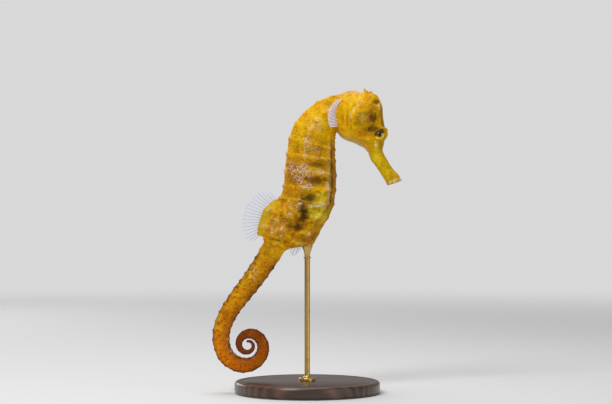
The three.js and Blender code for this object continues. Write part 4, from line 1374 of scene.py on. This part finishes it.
def makeMembraneMaterial(name, rootTint, tipTint, rootShown, tipShown):
    membrane, nodes, shader = newMaterial(name)
    height, tone = placeGrain(nodes, 1500.0, 0.2)
    across = nodes.attribute("outward")
    tint = nodes.mix(nodes.span(across, 0.0, 0.45), colour(*rootTint), colour(*tipTint))
    # a painted sheen: whitish patches where the grain's tone is light
    nodes.feed(shader.inputs["Base Color"], nodes.mix(nodes.span(tone, 0.4, 0.7, 0.0, 0.4), tint, colour(232, 236, 244)))
    clear = nodes.span(across, 0.0, 0.14, rootShown, tipShown)
    nodes.feed(shader.inputs["Alpha"], nodes.calc("ADD", clear, nodes.span(across, 0.9, 1.0, 0.0, 0.1)))
    nodes.feed(shader.inputs["Roughness"], nodes.span(tone, 0.3, 0.7, 0.28, 0.45))
    bump = nodes.add("ShaderNodeBump", {"Height": height})
    bump.inputs["Strength"].default_value = 0.3
    bump.inputs["Distance"].default_value = 0.00005
    nodes.feed(shader.inputs["Normal"], bump.outputs["Normal"])
    return membrane


def makeRayMaterial(name, rootTint, tipTint):
    ray, nodes, shader = newMaterial(name)
    height, tone = placeGrain(nodes, 2600.0, 0.3)
    across = nodes.attribute("outward")
    tint = nodes.mix(nodes.span(across, 0.0, 0.22), colour(*rootTint), colour(*tipTint))
    # a painted sheen: patches in the tip's colour where the grain's tone is light
    nodes.feed(shader.inputs["Base Color"], nodes.mix(nodes.span(tone, 0.4, 0.7, 0.0, 0.4), tint, colour(*tipTint)))
    nodes.feed(shader.inputs["Roughness"], nodes.span(tone, 0.3, 0.7, 0.35, 0.5))
    bump = nodes.add("ShaderNodeBump", {"Height": height})
    bump.inputs["Strength"].default_value = 0.3
    bump.inputs["Distance"].default_value = 0.00004
    nodes.feed(shader.inputs["Normal"], bump.outputs["Normal"])
    return ray


clearWeb = makeMembraneMaterial("clearFinWeb", (200, 160, 20), (204, 212, 236), 0.5, 0.1)
paleWeb = makeMembraneMaterial("paleFinWeb", (236, 214, 186), (226, 220, 244), 0.55, 0.38)
slateRay = makeRayMaterial("slateFinRay", (170, 134, 20), (112, 126, 166))
whiteRay = makeRayMaterial("whiteFinRay", (240, 226, 206), (248, 242, 254))


def makeRayTree():
    # thin tapering rods along the edges of a mesh of ray paths
    tree = bpy.data.node_groups.new("finRays", "GeometryNodeTree")
    tree.interface.new_socket("Geometry", in_out="INPUT", socket_type="NodeSocketGeometry")
    sizes = {}
    for label, value in (("Root Radius", 0.0001), ("Tip Share", 0.35)):
        socket = tree.interface.new_socket(label, in_out="INPUT", socket_type="NodeSocketFloat")
        socket.default_value = value
        sizes[label] = socket.identifier
    sides = tree.interface.new_socket("Sides", in_out="INPUT", socket_type="NodeSocketInt")
    sides.default_value = 6
    sizes["Sides"] = sides.identifier
    finish = tree.interface.new_socket("Finish", in_out="INPUT", socket_type="NodeSocketMaterial")
    sizes["Finish"] = finish.identifier
    tree.interface.new_socket("Geometry", in_out="OUTPUT", socket_type="NodeSocketGeometry")
    nodes = Nodes(tree)
    given = nodes.add("NodeGroupInput").outputs
    curve = nodes.add("GeometryNodeMeshToCurve", {"Mesh": given["Geometry"]}).outputs["Curve"]
    along = nodes.add("GeometryNodeSplineParameter").outputs["Factor"]
    share = nodes.add("ShaderNodeMapRange", {"Value": along, "To Min": 1.0, "To Max": given["Tip Share"]}).outputs[0]
    radius = nodes.calc("MULTIPLY", share, given["Root Radius"])
    curve = nodes.add("GeometryNodeSetCurveRadius", {"Curve": curve, "Radius": radius}).outputs["Curve"]
    round_ = nodes.add("GeometryNodeCurvePrimitiveCircle", {"Resolution": given["Sides"], "Radius": 1.0}).outputs["Curve"]
    rods = nodes.add("GeometryNodeCurveToMesh", {"Curve": curve, "Profile Curve": round_, "Fill Caps": True})
    if "Scale" in rods.inputs:
        nodes.feed(rods.inputs["Scale"], radius)
    solid = nodes.add("GeometryNodeRealizeInstances", {"Geometry": rods.outputs["Mesh"]}).outputs["Geometry"]
    smooth = nodes.add("GeometryNodeSetShadeSmooth", {"Geometry": solid}).outputs["Geometry"]
    done = nodes.add("GeometryNodeSetMaterial", {"Geometry": smooth, "Material": given["Finish"]}).outputs["Geometry"]
    nodes.feed(nodes.add("NodeGroupOutput").inputs["Geometry"], done)
    return tree, sizes


rayTree, raySockets = makeRayTree()


def makeRays(name, paths, finish, rootRadius, tipShare, sides=6):
    # paths in metres, each from its root outwards
    points, edges, outward = [], [], []
    for path in paths:
        start = len(points)
        points += [tuple(p) for p in path]
        edges += [(start + k, start + k + 1) for k in range(len(path) - 1)]
        outward += [k / (len(path) - 1) for k in range(len(path))]
    mesh = bpy.data.meshes.new(name + "Paths")
    mesh.from_pydata(points, edges, [])
    setFloats(mesh, "outward", outward)
    carrier = newObject(name + "Paths", mesh)
    modifier = carrier.modifiers.new("rays", "NODES")
    modifier.node_group = rayTree
    modifier[raySockets["Root Radius"]] = rootRadius
    modifier[raySockets["Tip Share"]] = tipShare
    modifier[raySockets["Sides"]] = sides
    modifier[raySockets["Finish"]] = finish
    return bake(carrier, name)


def sheetMesh(name, grid, thickness):
    # closed thin shell over a grid of points in metres
    grid = np.asarray(grid)
    rows, columns = grid.shape[:2]
    du = np.gradient(grid, axis=1)
    dv = np.gradient(grid, axis=0)
    normal = np.cross(du, dv)
    normal /= np.maximum(np.linalg.norm(normal, axis=2, keepdims=True), 1e-12)
    front = (grid + normal * thickness / 2).reshape(-1, 3)
    rear = (grid - normal * thickness / 2).reshape(-1, 3)
    total = rows * columns
    faces = []
    for r in range(rows - 1):
        for c in range(columns - 1):
            a = r * columns + c
            quad = (a, a + 1, a + columns + 1, a + columns)
            faces += [quad, tuple(total + k for k in reversed(quad))]
    rim = [(0, c) for c in range(columns)] + [(r, columns - 1) for r in range(1, rows)]
    rim += [(rows - 1, c) for c in range(columns - 2, -1, -1)] + [(r, 0) for r in range(rows - 2, 0, -1)]
    flat = [r * columns + c for r, c in rim]
    faces += [(b, a, total + a, total + b) for a, b in zip(flat, flat[1:] + flat[:1])]
    mesh = meshFrom(name, np.concatenate([front, rear]), faces)
    outward = np.tile(np.repeat(np.linspace(0, 1, rows), columns), 2)
    setFloats(mesh, "outward", outward)
    return newObject(name, mesh)


def curveThrough(points, count):
    points = np.asarray(points, float)
    length = np.concatenate([[0], np.cumsum(np.linalg.norm(np.diff(points, axis=0), axis=1))])
    return smoothThrough(length / length[-1], points, np.linspace(0, 1, count))


dorsalShape = {
    "root": [(-9.6, 62.6), (-12.2, 60.6), (-14.6, 57.4), (-15.4, 54.6), (-15.2, 52.2)],
    "margin": [(-12.3, 66.3), (-16.4, 65.8), (-19.5, 62.6), (-20.9, 58.6), (-21.2, 54.2), (-20.2, 50.9), (-17.8, 50.1)],
    "rays": 19,
    "rayRadius": 0.000075,
    "thickness": 0.0001,
    "wave": 0.55,
    "scallop": 0.035,
}


def makeDorsalFin():
    shape = dorsalShape
    columns, rows = 6 * (shape["rays"] - 1) + 1, 22
    root = curveThrough(shape["root"], columns)
    margin = curveThrough(shape["margin"], columns)
    along = np.linspace(0, 1, columns)
    ripple = np.abs(np.sin(math.pi * along * (shape["rays"] - 1)))
    grid = np.zeros((rows, columns, 3))
    for r in range(rows):
        out = r / (rows - 1)
        reach = out * (1 - shape["scallop"] * ripple)
        flat = root + (margin - root) * reach[:, None]
        # the rays lean a little as they go out, and the web sways between them
        sway = shape["wave"] * out * np.sin(along * 9 + out * 1.6) * 0.5 + 0.5 * out * out
        sway += 0.07 * out * np.cos(2 * math.pi * along * (shape["rays"] - 1))
        grid[r] = np.column_stack([flat[:, 0], sway, flat[:, 1]])
    grid *= mm
    web = sheetMesh("dorsalWeb", grid, shape["thickness"])
    web.data.materials.append(clearWeb)
    rays = makeRays("dorsalRays", [grid[:, 6 * k] for k in range(shape["rays"])], slateRay, shape["rayRadius"], 0.5)
    return web, rays


pectoralShape = {
    "rootTop": (10.0, 94.3),
    "rootBottom": (10.5, 88.0),
    "rootY": 3.1,
    "rayLength": 4.2,
    "endShare": 0.75,
    "rayTurn": (52, 192),
    "flare": (24, 60),
    "rays": 11,
    "rayRadius": 0.0001,
    "thickness": 0.0001,
    "pleat": 0.06,
}


def makePectoralFin(label, side):
    shape = pectoralShape
    columns, rows = 4 * (shape["rays"] - 1) + 1, 14
    grid = np.zeros((rows, columns, 3))
    for c in range(columns):
        along = c / (columns - 1)
        start = np.array(shape["rootTop"]) * (1 - along) + np.array(shape["rootBottom"]) * along
        turn = math.radians(shape["rayTurn"][0] + (shape["rayTurn"][1] - shape["rayTurn"][0]) * along)
        length = shape["rayLength"] * (shape["endShare"] + (1 - shape["endShare"]) * math.sin(math.pi * along))
        pleat = shape["pleat"] * math.cos(2 * math.pi * along * (shape["rays"] - 1))
        for r in range(rows):
            out = r / (rows - 1)
            flare = math.radians((shape["flare"][0] + (shape["flare"][1] - shape["flare"][0]) * along) * (1 - 0.3 * out))
            away = length * out
            grid[r, c] = (
                start[0] + math.cos(turn) * math.cos(flare) * away,
                side * (shape["rootY"] + math.sin(flare) * away + pleat * out),
                start[1] + math.sin(turn) * math.cos(flare) * away,
            )
    flat = toFrame(grid.reshape(-1, 3), np.full(rows * columns, 0.4)).reshape(grid.shape)
    web = sheetMesh("pectoralWeb" + label, flat, shape["thickness"])
    web.data.materials.append(paleWeb)
    rays = makeRays("pectoralRays" + label, [flat[:, 4 * k] for k in range(shape["rays"])], whiteRay, shape["rayRadius"], 0.6)
    return web, rays


analShape = {
    "root": [(-3.7, 49.7), (-1.8, 49.3)],
    "margin": [(-5.6, 46.6), (-5.0, 45.4), (-3.6, 45.6), (-2.2, 47.4)],
    "rays": 5,
    "rayRadius": 0.0001,
    "thickness": 0.00012,
}


def makeAnalFin():
    shape = analShape
    columns, rows = 4 * (shape["rays"] - 1) + 1, 10
    root, margin = curveThrough(shape["root"], columns), curveThrough(shape["margin"], columns)
    grid = np.zeros((rows, columns, 3))
    for r in range(rows):
        out = r / (rows - 1)
        flat = root + (margin - root) * out
        grid[r] = np.column_stack([flat[:, 0], 0.12 * out * np.sin(np.linspace(0, 6, columns)), flat[:, 1]])
    grid *= mm
    web = sheetMesh("analWeb", grid, shape["thickness"])
    web.data.materials.append(clearWeb)
    return web, makeRays("analRays", [grid[:, 4 * k] for k in range(shape["rays"])], slateRay, shape["rayRadius"], 0.5)


fins = [
    ("dorsal_fin", makeDorsalFin()),
    ("pectoral_fin_right", makePectoralFin("Right", -1)),
    ("pectoral_fin_left", makePectoralFin("Left", 1)),
    ("anal_fin", makeAnalFin()),
]
for node, pieces in fins:
    for piece in pieces:
        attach(piece, "root")
    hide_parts(node)
print("fins: dorsal, pectoral and anal, with their rays")


standShape = {
    "sides": 144,
    "radius": 24.0,
    "height": 4.0,
    "fillet": 1.0,
    "rodRadius": 0.9,
    "footRadius": 2.8,
    "cupRadius": 1.8,
    "top": 50.1,
    "clearance": 0.12,
}


def lathe(name, profile, sides):
    # profile of radius and height in millimetres, from the axis below to the axis above
    points, faces = [], []
    starts = []
    for radius, z in profile:
        starts.append(len(points))
        count = 1 if radius == 0 else sides
        points += [(radius * math.cos(2 * math.pi * k / sides), radius * math.sin(2 * math.pi * k / sides), z) for k in range(count)]
    for r in range(len(profile) - 1):
        for k in range(sides):
            nxt = (k + 1) % sides
            a, b = starts[r], starts[r + 1]
            if profile[r][0] == 0:
                faces.append((a, b + nxt, b + k))
            elif profile[r + 1][0] == 0:
                faces.append((a + k, a + nxt, b))
            else:
                faces.append((a + k, a + nxt, b + nxt, b + k))
    mesh = meshFrom(name, np.array(points) * mm, faces)
    return newObject(name, mesh)


def arc(centreR, centreZ, radius, start, end, steps=6):
    angles = [math.radians(start + (end - start) * k / steps) for k in range(steps + 1)]
    return [(centreR + radius * math.cos(a), centreZ + radius * math.sin(a)) for a in angles]


def keepCreased(piece, degrees=35):
    piece.data.set_sharp_from_angle(angle=math.radians(degrees))


def makeStand():
    shape = standShape
    radius, height, fillet = shape["radius"], shape["height"], shape["fillet"]
    profile = [(0, 0), (radius - 0.7, 0), (radius - 0.35, 0.12), (radius - 0.35, 0.5)]
    profile += [(radius, 0.8), *arc(radius - fillet, height - fillet, fillet, 0, 90)]
    profile += [(radius - 2.0, height), (radius - 2.25, height - 0.16), (radius - 2.6, height - 0.16), (radius - 2.85, height), (0, height)]
    base = lathe("standBase", profile, shape["sides"])
    keepCreased(base)
    foot, rod, cup = shape["footRadius"], shape["rodRadius"], shape["cupRadius"]
    profile = [(0, height + 0.01), (foot - 0.1, height + 0.01), (foot, height + 0.12), (foot, height + 0.7)]
    profile += arc(foot - 0.35, height + 0.75, 0.35, 10, 90)
    profile += [(rod + 0.9, height + 1.15), *[(rod + 0.9 - 0.85 * math.sin(t), height + 2.0 - 0.85 * math.cos(t)) for t in (0.4, 0.8, 1.2, 1.55)]]
    profile += [(rod, height + 2.4), (rod, 44.2), (rod + 0.28, 44.4), (rod + 0.28, 44.8), (rod, 45.0), (rod, 45.4)]
    profile += [(rod + 0.1, 46.0), (rod + 0.35, 46.8), (cup - 0.2, 47.7), (cup, 48.4), (cup, shape["top"]), (cup - 0.25, shape["top"] + 0.05), (0, shape["top"] - 0.3)]
    holder = lathe("standRod", profile, 64)
    keepCreased(holder)
    return base, holder


def seatUnder(holder, body):
    # the cup's top follows the belly that rests in it
    tree = BVHTree.FromObject(body, bpy.context.evaluated_depsgraph_get())
    clearance = standShape["clearance"] * mm
    seats, loose = [], []
    for vertex in holder.data.vertices:
        if vertex.co.z < 0.0475:
            continue
        low = Vector((vertex.co.x, vertex.co.y, 0.044))
        hit = tree.ray_cast(low, Vector((0, 0, 1)), 0.02)[0]
        if hit is None:
            loose.append(vertex)
        else:
            seats.append(hit.z - clearance)
            vertex.co.z = min(vertex.co.z, hit.z - clearance)
    for vertex in loose:
        vertex.co.z = min(vertex.co.z, min(seats) - clearance)
    holder.data.update()


def makeStandMaterials():
    wood, nodes, shader = newMaterial("darkWood")
    place = nodes.add("ShaderNodeTexCoord").outputs["Object"]
    drawn = nodes.add("ShaderNodeMapping", {"Vector": place, "Scale": (14.0, 150.0, 150.0)}).outputs["Vector"]
    grain = nodes.add("ShaderNodeTexNoise", {"Vector": drawn, "Scale": 3.0, "Detail": 8.0, "Roughness": 0.62, "Distortion": 0.6}).outputs["Fac"]
    bands = nodes.add("ShaderNodeTexWave", {"Vector": drawn, "Scale": 0.9, "Distortion": 5.0, "Detail": 3.0}, bands_direction="Y").outputs["Fac"]
    mixed = nodes.calc("ADD", nodes.calc("MULTIPLY", grain, 0.65), nodes.calc("MULTIPLY", bands, 0.35))
    stops = [(0.25, colour(38, 24, 16)), (0.5, colour(66, 42, 27)), (0.75, colour(94, 62, 40))]
    nodes.feed(shader.inputs["Base Color"], nodes.ramp(mixed, stops))
    nodes.feed(shader.inputs["Roughness"], nodes.span(grain, 0.3, 0.7, 0.32, 0.46))
    shader.inputs["Coat Weight"].default_value = 0.35
    shader.inputs["Coat Roughness"].default_value = 0.18
    bump = nodes.add("ShaderNodeBump", {"Height": grain})
    bump.inputs["Strength"].default_value = 0.25
    bump.inputs["Distance"].default_value = 0.0001
    nodes.feed(shader.inputs["Normal"], bump.outputs["Normal"])
    brass, nodes, shader = newMaterial("brushedBrass")
    place = nodes.add("ShaderNodeTexCoord").outputs["Object"]
    drawn = nodes.add("ShaderNodeMapping", {"Vector": place, "Scale": (1400.0, 1400.0, 30.0)}).outputs["Vector"]
    brush = nodes.add("ShaderNodeTexNoise", {"Vector": drawn, "Scale": 1.0, "Detail": 4.0}).outputs["Fac"]
    tarnish = nodes.add("ShaderNodeTexNoise", {"Vector": place, "Scale": 320.0, "Detail": 5.0}).outputs["Fac"]
    nodes.feed(shader.inputs["Base Color"], nodes.mix(nodes.span(tarnish, 0.5, 0.75, 0.0, 0.55), colour(206, 168, 98), colour(150, 112, 58)))
    shader.inputs["Metallic"].default_value = 1.0
    nodes.feed(shader.inputs["Roughness"], nodes.calc("ADD", nodes.span(brush, 0.3, 0.7, 0.2, 0.34), nodes.span(tarnish, 0.5, 0.8, 0.0, 0.15)))
    bump = nodes.add("ShaderNodeBump", {"Height": brush})
    bump.inputs["Strength"].default_value = 0.06
    bump.inputs["Distance"].default_value = 0.00003
    nodes.feed(shader.inputs["Normal"], bump.outputs["Normal"])
    return wood, brass


standBase, standRod = makeStand()
seatUnder(standRod, skin)
woodMaterial, brassMaterial = makeStandMaterials()
for piece, finish, slotName, node in (
    (standBase, woodMaterial, "stand_wood", "stand_base"),
    (standRod, brassMaterial, "stand_brass", "stand_rod"),
):
    piece.data.materials.append(finish)
    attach(piece, "root")
    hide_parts(node)
print("stand: base and rod are in")
